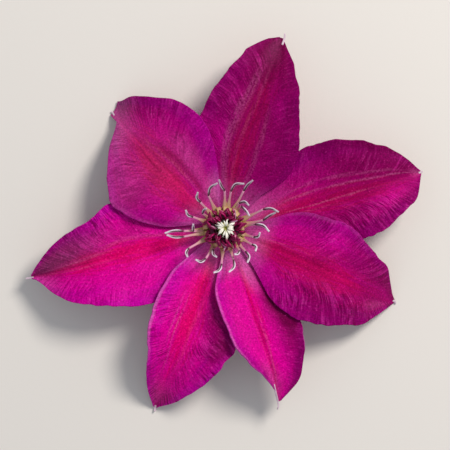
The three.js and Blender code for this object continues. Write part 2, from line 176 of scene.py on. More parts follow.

# The seven sepals, clockwise from the upper left. azimuth is in degrees from +X, reach is how far
# the tip lies from the axis, and level says how high the claw sits in the stack. left and right
# are the distances of the two edges from the sepal's axis, one every EDGE_STEP from EDGE_STEP
# outwards, and midrib is the path of the midrib beside that axis. crest is how far out the midrib
# is highest and how high it is there, and tip_height how high it ends. shoulder is how far the
# right edge is pushed outwards, and the half width of the end on that side. waviness is how wavy
# the outline is. The lifts raise each edge over the midrib, on the inner and on the outer half.
# tone_and_light runs from deep to bright magenta. It is partly the sepal's own colour and partly
# painted light: the deep copies stand for painted shade on the sepals that face away from the light,
# the bright ones for painted light on those that face it. bar is where the crimson bar has its
# middle, at the claw and at the tip, its half width, where it fades and how strong it is. Each line
# runs lengthwise: its place across, at the claw and at the tip, its half width, where it starts and
# ends, and how pale a rib it is, its paleness partly a painted sheen, or, below 0, how dark a furrow
# it is, which is painted shade in the furrow. hatch is how dark the side veins are, left and right,
# with painted shade between their folds and a painted highlight on top, and rolled_highlight how
# strong the painted highlight along each rolled margin is. Each patch is a place along and across
# the blade, its reach both ways, and how much deeper (or, below 0, brighter) the colour is there:
# partly the sepal's own colour and partly painted shade and painted light, such as the shadows that
# the sepals above cast. sheen_patches are patches of a painted pale velvety sheen. claw is how pale
# the foot of the blade is, made paler still as painted light against the shade under the stamens.
# point is the path of the white tip: how far it is past the end of the blade (or, below 0, before
# it), and how far to the left of the midrib.
SEPALS = (
    {
        "name": "sepal_1", "azimuth": 134.7, "reach": 58.2, "level": 2, "slot": "sepal_mid",
        "crest": (34, 17.6), "tip_height": 0.5, "shoulder": (5.0, 5.0), "waviness": 0.25,
        "left": (2.3, 8.4, 14.3, 18.0, 20.7, 22.2, 22.8, 19.5, 14.8, 8.7, 0.4),
        "right": (3.4, 7.8, 11.9, 15.7, 18.9, 21.2, 22.2, 21.8, 19.5, 13.8, 7.6),
        "left_lift": (-0.6, 0.6), "right_lift": (0.6, 1.2), "midrib": ((0, 0), (30, 0), (58.2, 0)),
        "tone_and_light": 0.5, "bar": (0.2, -0.04, 0.22, 0.85, 0.85), "hatch": (0.7, 0.6),
        "lines": (
            (-0.4, -0.08, 0.09, 0.12, 0.72, -0.55), (-0.3, -0.02, 0.05, 0.1, 0.8, 0.2),
            (0.12, 0.04, 0.025, 0.45, 0.85, -0.5),
        ),
        "rolled_highlight": (0.1, 0.0), "claw": 0.5,
        "patches": (
            (0.86, -0.8, 0.3, 0.5, 0.5), (0.5, 0.8, 0.12, 0.5, 0.35), (0.2, 0.9, 0.2, 0.35, 0.2),
            (0.35, 0.5, 0.3, 0.35, -0.15), (0.5, -0.4, 0.16, 0.35, 0.2), (0.62, 0.1, 0.25, 1.0, 0.2),
            (0.3, 0.95, 0.12, 0.25, 0.25), (0.42, -0.75, 0.25, 0.4, 0.15),
        ),
        "sheen_patches": (
            (0.98, 0.35, 0.22, 0.9, 0.4), (0.99, -0.6, 0.12, 0.6, 0.3), (0.72, 0.8, 0.3, 0.5, 0.15),
            (0.35, -0.45, 0.3, 0.25, 0.15), (0.16, -0.75, 0.12, 0.4, 0.4), (0.6, 0.1, 0.5, 0.6, 0.08),
        ),
        "point": ((-1.0, -0.5), (0.2, -0.7), (1.0, -0.7)),
    },
    {
        "name": "sepal_2", "azimuth": 72.9, "reach": 71.7, "level": 1, "slot": "sepal_dark",
        "crest": (54, 18.0), "tip_height": 13.5, "shoulder": (0.0, 0.5), "waviness": 0.35,
        "left": (3.4, 6.6, 9.8, 13.0, 16.0, 18.3, 20.1, 19.9, 19.1, 17.3, 15.5, 13.0, 10.7, 5.1),
        "right": (3.4, 6.4, 9.0, 13.2, 16.5, 17.4, 17.3, 16.0, 14.3, 12.6, 11.4, 8.3, 5.7, 1.4),
        "left_lift": (0.0, 2.0), "right_lift": (1.4, 1.8),
        "midrib": ((0, 0), (10, 0.6), (25, 2.7), (45, 1.5), (60, 0.5), (71.7, 0.7)),
        "tone_and_light": 0.1, "bar": (0.08, -0.06, 0.2, 0.95, 0.6), "hatch": (0.8, 0.35),
        "lines": (
            (0.4, 0.26, 0.13, 0.08, 0.9, 0.24), (-0.32, -0.24, 0.06, 0.1, 0.7, 0.18),
            (0.12, 0.04, 0.05, 0.15, 0.9, 0.12), (0.0, -0.02, 0.03, 0.05, 0.5, -0.2),
        ),
        "rolled_highlight": (0.0, 0.0), "claw": 0.35,
        "patches": (
            (1.0, 0.0, 0.4, 1.3, 0.7), (0.5, -0.75, 0.5, 0.6, 0.3), (0.62, 0.75, 0.2, 0.4, 0.15),
            (0.28, 0.85, 0.3, 0.45, -0.35), (0.5, 0.0, 0.5, 0.5, 0.2), (0.64, -0.5, 0.08, 0.2, -0.4),
            (0.42, 0.45, 0.12, 0.2, -0.4), (0.66, 0.5, 0.06, 0.2, -0.4), (1.0, 0.0, 0.15, 1.3, 0.45),
            (0.85, 0.1, 0.18, 1.0, 0.25), (0.72, -0.25, 0.12, 0.14, -0.3), (0.56, 0.0, 0.1, 0.8, 0.15),
        ),
        "sheen_patches": ((0.97, 0.1, 0.14, 0.5, 0.1),),
        "point": ((-2.4, -1.1), (0.2, -1.2), (1.9, -0.8)),
    },
    {
        "name": "sepal_3", "azimuth": 15.6, "reach": 73.6, "level": 0, "slot": "sepal_dark",
        "crest": (54, 16.6), "tip_height": 12.0, "shoulder": (0.0, 0.5), "waviness": 0.4,
        "left": (3.2, 6.8, 10.4, 13.5, 16.5, 18.8, 20.1, 20.0, 20.3, 19.5, 17.7, 14.6, 12.2, 6.6),
        "right": (2.6, 4.4, 6.0, 8.0, 10.0, 12.0, 14.0, 15.8, 17.1, 17.1, 16.1, 13.6, 10.9, 7.6),
        "left_lift": (0.3, 1.8), "right_lift": (0.0, -0.6), "midrib": ((0, 0), (40, 0), (73.6, 0.5)),
        "tone_and_light": 0.38, "bar": (0.02, -0.04, 0.22, 0.95, 0.7), "hatch": (0.5, 0.95),
        "lines": (
            (0.42, 0.3, 0.04, 0.15, 1.1, 0.2), (0.24, 0.18, 0.03, 0.2, 1.1, 0.34),
            (-0.06, 0.0, 0.024, 0.2, 0.8, 0.42), (0.1, 0.08, 0.03, 0.3, 0.9, -0.15),
            (-0.2, -0.1, 0.03, 0.15, 0.6, 0.15),
        ),
        "rolled_highlight": (0.0, 0.0), "claw": 0.6,
        "sheen_patches": ((1.0, 0.15, 0.06, 0.5, 0.25), (0.2, 0.4, 0.15, 0.5, 0.15)),
        "patches": (
            (0.5, 0.8, 0.35, 0.55, 0.5), (0.8, -0.4, 0.14, 0.3, -0.45), (0.92, 0.7, 0.35, 0.7, 0.7),
            (0.75, 0.1, 0.4, 0.6, 0.5), (0.7, -0.7, 0.4, 0.5, 0.2), (0.2, -0.5, 0.25, 0.5, 0.35),
            (0.95, -0.6, 0.1, 0.5, 0.3), (0.7, 1.0, 0.45, 0.25, 0.3), (0.3, 0.85, 0.18, 0.35, -0.45),
            (0.6, -0.45, 0.2, 0.2, 0.3), (0.76, -0.85, 0.35, 0.4, 0.3),
        ),
        "point": ((-0.8, 0.1), (0.1, 0.0), (0.8, 0.2)),
    },
    {
        "name": "sepal_4", "azimuth": -22.2, "reach": 67.0, "level": 3, "slot": "sepal_mid",
        "crest": (36, 19.4), "tip_height": 0.5, "shoulder": (0.0, 0.5), "waviness": 0.45,
        "left": (2.2, 6.2, 10.2, 14.1, 16.5, 17.4, 18.0, 18.1, 17.0, 14.0, 11.5, 9.2, 1.4),
        "right": (2.6, 5.6, 9.0, 13.2, 17.1, 19.2, 20.1, 19.8, 19.0, 16.8, 15.2, 12.2, 5.0),
        "left_lift": (-2.6, 0.8), "right_lift": (-1.2, -1.6), "midrib": ((0, 0), (40, 0), (67.0, -1.2)),
        "tone_and_light": 0.42, "bar": (0.0, -0.12, 0.28, 0.9, 0.75), "hatch": (0.75, 1.0),
        "lines": (
            (-0.1, -0.08, 0.03, 0.05, 0.7, -0.25), (0.1, 0.04, 0.04, 0.15, 0.5, -0.25),
            (-0.24, -0.16, 0.04, 0.05, 0.5, -0.2), (0.3, 0.16, 0.04, 0.1, 0.5, -0.25),
            (0.2, 0.1, 0.03, 0.1, 0.5, 0.2),
        ),
        "rolled_highlight": (0.08, 0.0), "claw": 0.6,
        "sheen_patches": (
            (0.1, -0.3, 0.14, 0.6, 0.25), (0.1, 0.3, 0.12, 0.5, 0.15), (0.9, -0.4, 0.08, 0.2, 0.12),
        ),
        "patches": (
            (0.9, 0.0, 0.3, 1.2, 0.22), (0.66, 0.5, 0.3, 0.5, 0.15),
            (0.62, 0.35, 0.14, 0.3, 0.25), (0.72, -0.75, 0.3, 0.5, 0.5), (0.2, -0.75, 0.25, 0.5, -0.45),
            (0.2, 0.45, 0.15, 0.3, -0.3), (0.95, 0.7, 0.3, 0.6, 0.55), (0.9, -0.15, 0.2, 0.3, 0.3),
            (0.4, 0.95, 0.2, 0.3, 0.2), (0.55, 0.55, 0.1, 0.25, -0.5), (0.5, 0.1, 0.08, 0.2, 0.4),
            (0.56, -0.4, 0.1, 0.6, 0.25), (0.12, 0.9, 0.12, 0.3, 0.4),
        ),
        "point": ((-0.6, 0.1), (0.4, 0.0), (0.9, -0.6)),
    },
    {
        "name": "sepal_5", "azimuth": -73.2, "reach": 65.4, "level": 2, "slot": "sepal_bright",
        "crest": (46, 17.2), "tip_height": 9.0, "shoulder": (0.0, 0.5), "waviness": 0.3,
        "left": (2.2, 5.2, 8.5, 11.0, 13.0, 14.8, 16.0, 16.8, 16.0, 15.2, 12.8, 9.8, 2.2),
        "right": (2.2, 4.4, 7.2, 9.6, 10.1, 9.9, 9.4, 8.9, 7.1, 4.9, 1.8, -0.3, -0.4),
        "left_lift": (-1.6, 1.2), "right_lift": (3.4, 4.0),
        "midrib": ((0, 0), (25, 0.6), (45, 1.5), (58, 1.6), (65.4, 0.9)),
        "tone_and_light": 0.9, "bar": (0.16, -0.02, 0.1, 1.0, 0.55), "hatch": (0.35, 0.3),
        "lines": (
            (0.1, 0.0, 0.03, 0.5, 1.1, -0.2), (0.18, 0.06, 0.03, 0.4, 1.1, 0.3),
            (-0.02, -0.08, 0.03, 0.45, 1.1, 0.12),
        ),
        "rolled_highlight": (0.0, 0.4), "claw": 1.1,
        "sheen_patches": (
            (0.95, -0.3, 0.22, 0.6, 0.25), (0.2, 0.3, 0.16, 0.3, 0.5), (0.05, -0.6, 0.12, 0.8, 0.15),
        ),
        "patches": (
            (0.4, 0.95, 0.5, 0.5, 0.6), (0.45, 0.6, 0.3, 0.4, 0.7), (0.72, 0.95, 0.3, 0.5, 0.35),
            (0.4, -0.7, 0.5, 0.6, 0.12), (0.98, -0.5, 0.25, 0.8, 0.3), (0.8, -0.9, 0.3, 0.4, 0.3),
            (0.92, 0.85, 0.2, 0.3, 0.4), (0.42, 0.5, 0.1, 0.25, 0.2),
        ),
        "point": ((-6.6, -0.8), (-3.4, -0.7), (-0.2, -0.5), (1.6, -0.7), (2.6, -1.5)),
    },
    {
        "name": "sepal_6", "azimuth": -111.3, "reach": 69.6, "level": 1, "slot": "sepal_bright",
        "crest": (40, 15.6), "tip_height": 0.5, "shoulder": (0.0, 0.5), "waviness": 0.3,
        "left": (2.6, 4.9, 7.5, 10.5, 13.5, 16.2, 18.5, 19.4, 17.7, 16.1, 13.9, 10.1, 6.3),
        "right": (3.2, 6.2, 9.0, 11.7, 12.8, 13.5, 13.8, 13.1, 12.2, 9.9, 8.4, 6.9, 4.3),
        "left_lift": (0.6, 2.6), "right_lift": (2.6, 3.4), "midrib": ((0, 0), (40, 0.3), (69.6, 0)),
        "tone_and_light": 0.92, "bar": (-0.06, -0.02, 0.22, 0.85, 0.8), "hatch": (0.9, 0.8),
        "lines": (
            (-0.22, -0.3, 0.025, 0.3, 0.85, 0.4), (-0.34, -0.44, 0.03, 0.3, 0.7, 0.3),
            (0.12, 0.1, 0.05, 0.3, 0.9, 0.1),
        ),
        "rolled_highlight": (0.0, 0.4), "claw": 0.6,
        "patches": (
            (0.42, 0.62, 0.36, 0.5, 0.55), (0.52, 0.95, 0.2, 0.5, 0.25), (0.4, -0.4, 0.4, 0.5, -0.1),
            (0.85, 0.1, 0.3, 0.9, -0.1), (0.15, 0.15, 0.12, 0.4, 0.2), (0.98, 0.2, 0.12, 0.9, 0.5),
            (0.56, 0.75, 0.12, 0.35, 0.4), (0.42, 0.42, 0.12, 0.25, 0.35), (0.34, 0.1, 0.08, 0.16, 0.3),
        ),
        "sheen_patches": (
            (0.95, -0.2, 0.12, 0.8, 0.12), (0.2, 0.45, 0.08, 0.3, 0.25), (0.1, -0.3, 0.12, 0.7, 0.15),
        ),
        "point": ((-0.8, 0.0), (0.4, 0.2), (1.5, 0.5)),
    },
    {
        "name": "sepal_7", "azimuth": -166.3, "reach": 72.0, "level": 0, "slot": "sepal_bright",
        "crest": (46, 15.4), "tip_height": 7.5, "shoulder": (0.0, 0.5), "waviness": 0.25,
        "left": (2.6, 5.4, 9.0, 12.5, 16.3, 19.6, 20.0, 19.1, 17.8, 16.4, 14.6, 12.5, 8.4, 2.4),
        "right": (3.0, 5.2, 7.5, 10.0, 12.8, 15.5, 18.0, 18.1, 15.3, 13.2, 11.9, 9.6, 6.4, 2.3),
        "left_lift": (0.4, 2.8), "right_lift": (0.2, 2.0),
        "midrib": ((0, 0), (40, 0.3), (60, 0.9), (72.0, 0.5)),
        "tone_and_light": 0.85, "bar": (0.0, -0.02, 0.2, 1.0, 0.8), "hatch": (0.5, 1.0),
        "lines": (
            (0.0, -0.04, 0.03, 0.55, 1.1, -0.35), (-0.34, -0.2, 0.07, 0.15, 0.7, 0.2),
            (0.1, 0.03, 0.03, 0.5, 1.0, 0.2), (-0.16, -0.14, 0.04, 0.5, 1.1, 0.25),
        ),
        "rolled_highlight": (0.0, 0.0), "claw": 0.4,
        "sheen_patches": ((0.98, 0.6, 0.14, 0.7, 0.2), (0.85, -0.45, 0.3, 0.5, 0.15), (0.2, -0.9, 0.2, 0.3, 0.1)),
        "patches": (
            (0.8, -0.65, 0.3, 0.5, 0.65), (0.95, -0.2, 0.2, 0.6, 0.5), (0.4, 0.6, 0.5, 0.5, -0.15),
            (0.95, 0.7, 0.25, 0.5, -0.6), (0.32, -0.85, 0.15, 0.3, 0.3), (0.2, -0.5, 0.12, 0.4, 0.3),
            (0.5, -0.8, 0.1, 0.4, -0.2), (0.6, -0.3, 0.25, 0.3, 0.15), (0.98, -0.1, 0.12, 0.4, 0.3),
            (0.78, -0.2, 0.2, 0.3, 0.3), (0.44, -0.5, 0.12, 0.25, 0.3),
        ),
        "point": ((-0.8, 0.3), (0.6, 0.2), (2.2, 0.0)),
    },
)

# Outer stamens: azimuth and radius of each anther's root, then of its tip, how far the anther
# bows to the left on its way, and how silvery it is.
OUTER_STAMENS = (
    (89, 13.4, 96.4, 17.7, 0.3, 0.45),
    (116.6, 12.9, 98.6, 16.5, 1.2, 0.5),
    (80.7, 13.2, 66.3, 17.6, 1.5, 0.6),
    (63.1, 14.9, 59.5, 20.1, 0.4, 0.45),
    (132.4, 12.6, 126.2, 16.2, 0.9, 0.6),
    (146, 9.5, 131.5, 9.7, 0.4, 0.6),
    (159.7, 11.9, 154.3, 15.4, 0.8, 0.75),
    (185.4, 11.2, 171.6, 11.3, 0.1, 0.8),
    (183.6, 14.4, 184.4, 21.5, -0.5, 0.7),
    (191.3, 14.7, 186.2, 20.9, 0.5, 0.75),
    (208.6, 14.5, 217.7, 16.7, -0.7, 0.9),
    (238.5, 12.5, 226.9, 15.2, 1.0, 0.95),
    (241, 8.4, 255, 10.6, -0.7, 0.85),
    (265.7, 12.6, 256.1, 16.3, 0.9, 0.95),
    (286.4, 11.4, 275.8, 15.7, 1.1, 0.9),
    (305, 9.6, 291, 9.9, 0.5, 1.0),
    (313.2, 10.9, 303.8, 14.8, 1.0, 0.8),
    (330, 11.2, 323.8, 13.8, 1.0, 0.9),
    (343.3, 10.8, 353.8, 12.8, -0.8, 0.85),
    (8.5, 10.7, -3.7, 16.1, 1.0, 0.9),
    (26.8, 15.2, 17.1, 20.3, 0.8, 0.6),
    (11.8, 13.9, 17.5, 19.4, 0.2, 0.45),
    (54, 10.1, 27, 10.1, 0.2, 0.8),
    (61, 10.4, 43.2, 12.1, 1.0, 0.6),
)

# Filaments: radius and height of their root and their bend, and how they narrow. Those of the boss
# bulge out and then end under it.
FILAMENT_ROOT = (4.5, 15.0)
FILAMENT_BEND = (7.4, 16.0)
FILAMENT_HALF_THICKNESS = (0.36, 0.26)
FILAMENT_NARROWS = (0.15, 0.75)
BOSS_FILAMENTS = 24
BOSS_FILAMENT_HALF_THICKNESS = 0.32
BOSS_FILAMENT_NARROWING = 0.4
BOSS_FILAMENT_BULGE = (6.8, 7.8)
BOSS_FILAMENT_BULGE_HEIGHT = 17.0
BOSS_FILAMENT_END = (6.0, 19.0)
BOSS_FILAMENT_TURN = 4
FILAMENT_JOINS = 0.1
STAMEN_SEED = 5
STAMEN_WOBBLE = 0.3

# Opened anthers: the radius and height of a root, how much higher the roots further out are, how
# much of the curl shows in the middle, half width and half thickness of the waist at the root, and
# where and how much an anther swells and closes
ANTHER_ROOT = (10, 18.4)
ANTHER_SLOPE = 0.16
ANTHER_MIDDLE_CURL = 0.05
ANTHER_WAIST = (0.22, 0.2)
ANTHER_SWELLS = (-0.05, 0.25)
ANTHER_CLOSES = (0.6, 1.02)
ANTHER_CLOSING = 0.65

# The boss: the profile of its collar, and rings of unopened anthers, with how many there are, their
# half width, how far they lean on edge, and the radius and height of foot, belly and tip. Each
# anther leans and is longer or shorter by chance, and BOSS_BENDS says how much of its lean, of its
# length outwards and of its length upwards shows at foot, belly and tip.
BOSS_COLLAR = ((3.3, 16.3), (5.3, 16.3), (5.3, 20.6), (3.8, 21.4))
BOSS_SEED = 11
BOSS_TURN = 5
BOSS_LEAN = 30
BOSS_LONGER = 0.9
BOSS_TWIST = 0.8
BOSS_WIDTHS = (0.8, 1.15)
BOSS_BENDS = {"foot": (0, 0, 0), "belly": (0.35, 0.2, 0.3), "tip": (1, 0.5, 0.6)}
BOSS_CLOSES = (0.75, 1.03)
BOSS_CLOSING = 0.6
BOSS_ROWS = (
    {
        "count": 17, "half_width": 0.72, "stands": 1.0,
        "foot": (4.5, 18.4), "belly": (6.2, 20.2), "tip": (7.8, 20.4),
    },
    {
        "count": 15, "half_width": 0.68, "stands": 0.7,
        "foot": (3.7, 20.4), "belly": (5.2, 22.0), "tip": (7.0, 22.3),
    },
    {
        "count": 11, "half_width": 0.6, "stands": 0.5,
        "foot": (3.0, 21.8), "belly": (4.0, 23.2), "tip": (5.4, 23.7),
    },
)

# The styles stand in bundles: where each points, and how far it reaches and how high. A bundle has
# three arms, each turned aside and with its share of the reach. The path of an arm has its shares
# of the reach and of the height, what is added to the height, and its share of the lean.
STYLE_CENTRE = (0.5, 0.3)
STYLE_CORE = ((0, 16.7), (2.2, 16.7), (2.2, 21.8), (1.32, 22.6), (0, 22.9))
STYLE_ARMS = ((-13, 0.78), (-1, 1.05), (12, 0.9))
STYLE_SEED = 3
STYLE_TURN = 3
STYLE_RISE = 0.2
STYLE_LEAN = 9
STYLE_PATH = ((0, 0, 0, 0), (0.3, 0.8, 0, 0), (0.7, 1, 0.2, 0.6), (1, 1, -0.1, 1))
STYLE_WIDTHS = (0.85, 1.1)
STYLE_SWELLS = (0.2, 0.75)
STYLE_SWELLING = (0.45, 1.0)
STYLE_CLOSES = (0.8, 1.03)
STYLE_CLOSING = 0.7
STYLE_HALF_THICKNESS = (0.07, 0.27)
STYLE_HAIR_REACH = (0.3, 1.0)
STYLE_HAIR_SWEEP = 0.7
STYLE_HAIR_RISE = (-0.1, 0.6)
STYLE_HAIR_LENGTH = (0.5, 0.9)
STYLE_HAIR_RADIUS = 0.05
STYLE_FOOT = (0.35, 23.3)
STYLE_BUNDLES = (
    (27, 3.5, 24.4), (86, 2.9, 24.8), (146, 3.4, 24.5), (174, 3.3, 24.2), (212, 3.4, 24.3),
    (268, 3.9, 24.3), (318, 3.4, 24.4), (354, 2.9, 24.7),
)

# The stalk and the receptacle, as radii and heights from the cut end upwards
STALK_PROFILE = (
    (0, 0.6), (1.15, 0.6), (1.25, 0.75), (1.2, 3.0), (1.25, 5.5), (1.44, 7.1),
    (2.0, 8.2), (2.7, 9.0), (3.15, 9.8), (3.2, 12.0), (3.2, 15.5), (2.6, 16.4), (0, 16.4),
)
STALK_RIBS = 6
STALK_RIB_HEIGHT = 0.05
STALK_RIBS_END = (9.5, 8)
STALK_SEED = 17
STALK_HAIRS_BETWEEN = (1.2, 8.0)
STALK_HAIR_RISE = (-0.7, 0.3)
STALK_HAIR_ROOT = 1.1
STALK_HAIR_LENGTH = (0.5, 0.9)
STALK_HAIR_RADIUS = 0.03

# Colours of the gleam on velvety and on waxy tissue, and of the down on the stalk
VELVET_GLEAM = "#ff9ae0"
WAX_GLEAM = "#ffb0dc"
STALK_DOWN = "#d8dcc8"

# Straps: their thickness in the groove and beside it as a share of the whole, how far the groove
# reaches as a share of their half width, and in how many steps each kind is made
STRAP_GROOVE = (0.6, 1.3)
STRAP_GROOVE_HALF_WIDTH = 0.8
STRAP_SIDES = 12
PATH_STEPS = 12
POINT_STEPS = 12
FILAMENT_STEPS = 16
BOSS_FILAMENT_STEPS = 8
ANTHER_STEPS = 22
BOSS_STEPS = 14
STYLE_STEPS = 14

# Radius of a hair's tip, as a share of the radius at its root
HAIR_TIP = 0.2

# Round pieces: in how many steps they go round, and how near to each other two points are one
ROUND_SIDES = 48
CORE_SIDES = 24
WELD_DISTANCE = 0.01

# Stage. The floor, the place of the key light and how far the camera sees are in metres.
FLOOR_HALF_WIDTH = 2.0
SENSOR_WIDTH = 36.0
CAMERA_OFF_AXIS = (0.2, 1.3)
CAMERA_SEES_TO = 20.0
SEPAL_HEIGHT = 15
KEY_PLACE = (0.6, 0.6, 0.92)
KEY_COLOUR = "#fff6ec"
ROOM_COLOUR = "#f1f4fb"

UP = Vector((0, 0, 1))


def linear(hex_colour):
    """Linear red, green and blue of an sRGB hex colour."""
    channels = [int(hex_colour[start:start + 2], 16) / 255 for start in (1, 3, 5)]
    return tuple(c / 12.92 if c <= 0.04045 else ((c + 0.055) / 1.055) ** 2.4 for c in channels)


def colour_setting(name, description, hex_colour):
    """A colour that a user can change."""
    return FloatVectorProperty(
        name=name, description=description, default=linear(hex_colour),
        size=3, min=0.0, max=1.0, subtype="COLOR",
    )


def length_setting(name, description, millimetres):
    """A length that a user can change."""
    return FloatProperty(
        name=name, description=description, default=millimetres * MM, min=0.0, unit="LENGTH", precision=4,
    )


def number_setting(name, description, number):
    """A number of things that a user can change."""
    return IntProperty(name=name, description=description, default=number, min=0)


class ClematisSepalSettings(PropertyGroup):
    """Sizes and colours of the sepals."""

    back_hairs: number_setting("Hairs on a Back", "Short hairs on a sepal's back", 160)
    rows: number_setting("Rows", "Steps from claw to tip", 180)
    columns: number_setting("Columns", "Steps from edge to edge", 104)
    thickness: length_setting("Thickness", "Thickness of the blade", 0.5)
    ruffle: length_setting("Ruffle", "Height of the waves along the margins", 0.45)
    relief: length_setting("Vein Relief", "Depth of the wrinkles between the veins", 0.12)
    groove: length_setting("Midrib Groove", "Depth of the groove along the midrib", 0.15)
    # The bright and deep copies of body, bar and margin are partly the sepals' own tones and partly
    # painted light: bright_lit stands for a sepal in the light, deep_shaded for one in painted shade
    bright_lit_body: colour_setting("Bright Body", "Magenta of a sepal in full colour", "#e2009a")
    bright_lit_bar: colour_setting("Bright Bar", "Crimson bar of a sepal in full colour", "#df0066")
    bright_lit_margin: colour_setting("Bright Margin", "Purple margin of a sepal in full colour", "#c800a6")
    deep_shaded_body: colour_setting("Deep Body", "Magenta of a deep-coloured sepal", "#86005a")
    deep_shaded_bar: colour_setting("Deep Bar", "Crimson bar of a deep-coloured sepal", "#9a0846")
    deep_shaded_margin: colour_setting("Deep Margin", "Purple margin of a deep-coloured sepal", "#7e0058")
    # Painted shade of the deeper patches and of the hollows between the folds, partly the sepals' own
    # deeper colour
    shadow_body: colour_setting("Dark Patch", "Maroon purple of the darkest patches", "#66003a")
    # Painted light of the brighter patches, of the tops of the folds and of the specks, partly the sepals'
    # own clearer colour
    painted_light_body: colour_setting("Bright Patch", "Clear magenta of the brightest patches", "#f200ac")
    # Partly a painted sheen on the raised ribs, and part of the painted highlight on the tops of the folds
    rib: colour_setting("Ribs", "Greyish lilac of the raised ribs", "#be74aa")
    # Painted shade in the furrows along the blade
    furrow_shade: colour_setting("Furrows", "Dull maroon of the furrows along the blade", "#4c0c2e")
    # Partly the claw's own pale colour, made paler as painted light against the shade under the stamens
    claw: colour_setting("Claw", "Pale lavender pink at the foot of the blade", "#e070c0")
    # Painted highlight along a margin that rolls over
    rolled_highlight: colour_setting("Rolled Margin", "Pale lilac of a margin that rolls over", "#dc7cc8")
    # Painted pale velvety sheen
    painted_sheen: colour_setting("Bloom", "Pale bloom over parts of the blade", "#c67ab0")
    underside: colour_setting("Underside", "Mauve of the back of the blade", "#b0588f")
    underside_bar: colour_setting("Underside Bar", "Greenish bar on the back", "#bfc79a")
    point: colour_setting("Point", "White point at the tip", "#dfc8da")


class ClematisStamenSettings(PropertyGroup):
    """Sizes and colours of the stamens."""

    foot_width: length_setting("Filament Foot Width", "Width of a filament at its foot", 2.3)
    end_width: length_setting("Filament End Width", "Width of a filament under its anther", 0.85)
    anther_width: length_setting("Anther Width", "Width of an opened anther", 0.98)
    anther_thickness: length_setting("Anther Thickness", "Thickness of an opened anther", 0.7)
    anther_curl: length_setting("Anther Curl", "How far an anther curls up", 2.4)
    filament_foot: colour_setting("Filament Foot", "Yellow-green foot of a filament", "#bfa262")
    filament_middle: colour_setting("Filament Middle", "Tan pink middle of a filament", "#cc8c8e")
    filament_end: colour_setting("Filament End", "Pink end of a filament", "#cf7fae")
    anther_face: colour_setting("Anther Face", "Dark purple face of an anther", "#521634")
    anther_dull: colour_setting("Anther Dull", "Mauve grey of an anther that is still shut", "#8f6f8c")
    anther_silver: colour_setting("Anther Silver", "Silvery lilac of an opened seam", "#f2e9f8")


class ClematisCentreSettings(PropertyGroup):
    """Sizes and colours of the boss, the styles and the stalk."""

    boss_thickness: length_setting("Unopened Anther Thickness", "Thickness of an unopened anther", 0.8)
    style_hairs: number_setting("Hairs on a Style", "Silky hairs on one style", 12)
    stalk_hairs: number_setting("Hairs on the Stalk", "Short hairs on the stalk", 300)
    style_width: length_setting("Style Width", "Width of a style where it is widest", 0.56)
    boss_deep: colour_setting("Boss Deep", "Deep maroon of an unopened anther", "#6a0034")
    # Painted highlight on the raised edges of the sacs, over their own crimson
    boss_lit: colour_setting("Boss Lit", "Crimson of its raised edges", "#b01662")
    # Partly a painted glint
    boss_seam_glint: colour_setting("Boss Silver", "Lilac silver of an opening seam", "#c9a8c8")
    # Painted shade where the anthers crowd together at their roots and round the collar
    boss_shade: colour_setting("Boss Dark", "Dark maroon between the anthers", "#380020")
    style_tip: colour_setting("Style Tip", "Cream tip of a style", "#fbfaf0")
    style_foot: colour_setting("Style Foot", "Green foot of a style", "#a3a645")
    stalk: colour_setting("Stalk", "Green of the stalk", "#7f8a4a")
    stalk_flush: colour_setting("Stalk Flush", "Purple flush on the stalk", "#6d4250")


class ClematisStageSettings(PropertyGroup):
    """Floor, camera and lights."""

    floor_colour: colour_setting("Floor", "Pale matt floor", "#e6e4e0")
    view_width: length_setting("View Width", "Width that the camera takes in", 162.0)
    camera_distance: length_setting("Camera Distance", "Height of the camera over the sepals", 1500.0)
    key_power: FloatProperty(
        name="Key Light", description="Power of the key light", default=12.4, min=0.0, unit="POWER",
    )
    key_size: length_setting("Key Light Size", "Width of the key light", 420.0)
    world_strength: FloatProperty(
        name="Ambient Light", description="Strength of the light from all round", default=0.46, min=0.0,
    )


def smoothstep(value, low, high):
    """0 at low, 1 at high and a smooth change between them. high may be the smaller of the two."""
    share = min(max((value - low) / (high - low), 0.0), 1.0)
    return share * share * (3.0 - 2.0 * share)


def mix(low, high, share):
    """The value at a share of the way from low to high."""
    return low + (high - low) * share


def blend(first, second, share):
    """The colour at a share of the way between two colours."""
    return tuple(mix(a, b, share) for a, b in zip(first, second))


def jitter(rng, most):
    """A random amount, either way."""
    return rng.uniform(-most, most)


def ripple(x, y, seed, waves):
    """Sum of noises, each with its length along x and width along y, its height and its number."""
    return sum(
        height * noise.noise(Vector((x / length, y / width, seed + apart)))
        for length, width, height, apart in waves
    )


def smooth_at(stations, x):
    """Smooth curve through [x, y] stations, with each slope taken from the two neighbours."""
    last = len(stations) - 1
    start = 0
    while start < last - 1 and x > stations[start + 1][0]:
        start += 1

    def slope_at(index):
        before = stations[max(index - 1, 0)]
        after = stations[min(index + 1, last)]
        return (after[1] - before[1]) / (after[0] - before[0])

    x0, y0 = stations[start]
    x1, y1 = stations[start + 1]
    span = x1 - x0
    u = min(max((x - x0) / span, 0.0), 1.0)
    leave = u * (1 - u) * (1 - u) * span * slope_at(start)
    arrive = u * u * (u - 1) * span * slope_at(start + 1)
    return mix(y0, y1, u * u * (3 - 2 * u)) + leave + arrive


def edge_stations(sepal, side):
    """Edge distances, with the claw before them and the tip after them."""
    inner = [((index + 1) * EDGE_STEP, distance) for index, distance in enumerate(sepal[side])]
    midrib_at_tip = sepal["midrib"][-1][1]
    if side == "left":
        at_tip = midrib_at_tip + TIP_HALF_WIDTH
    else:
        at_tip = sepal["shoulder"][1] - midrib_at_tip
    return [(CLAW_RADIUS, CLAW_HALF_WIDTH), *inner, (sepal["reach"], at_tip)]


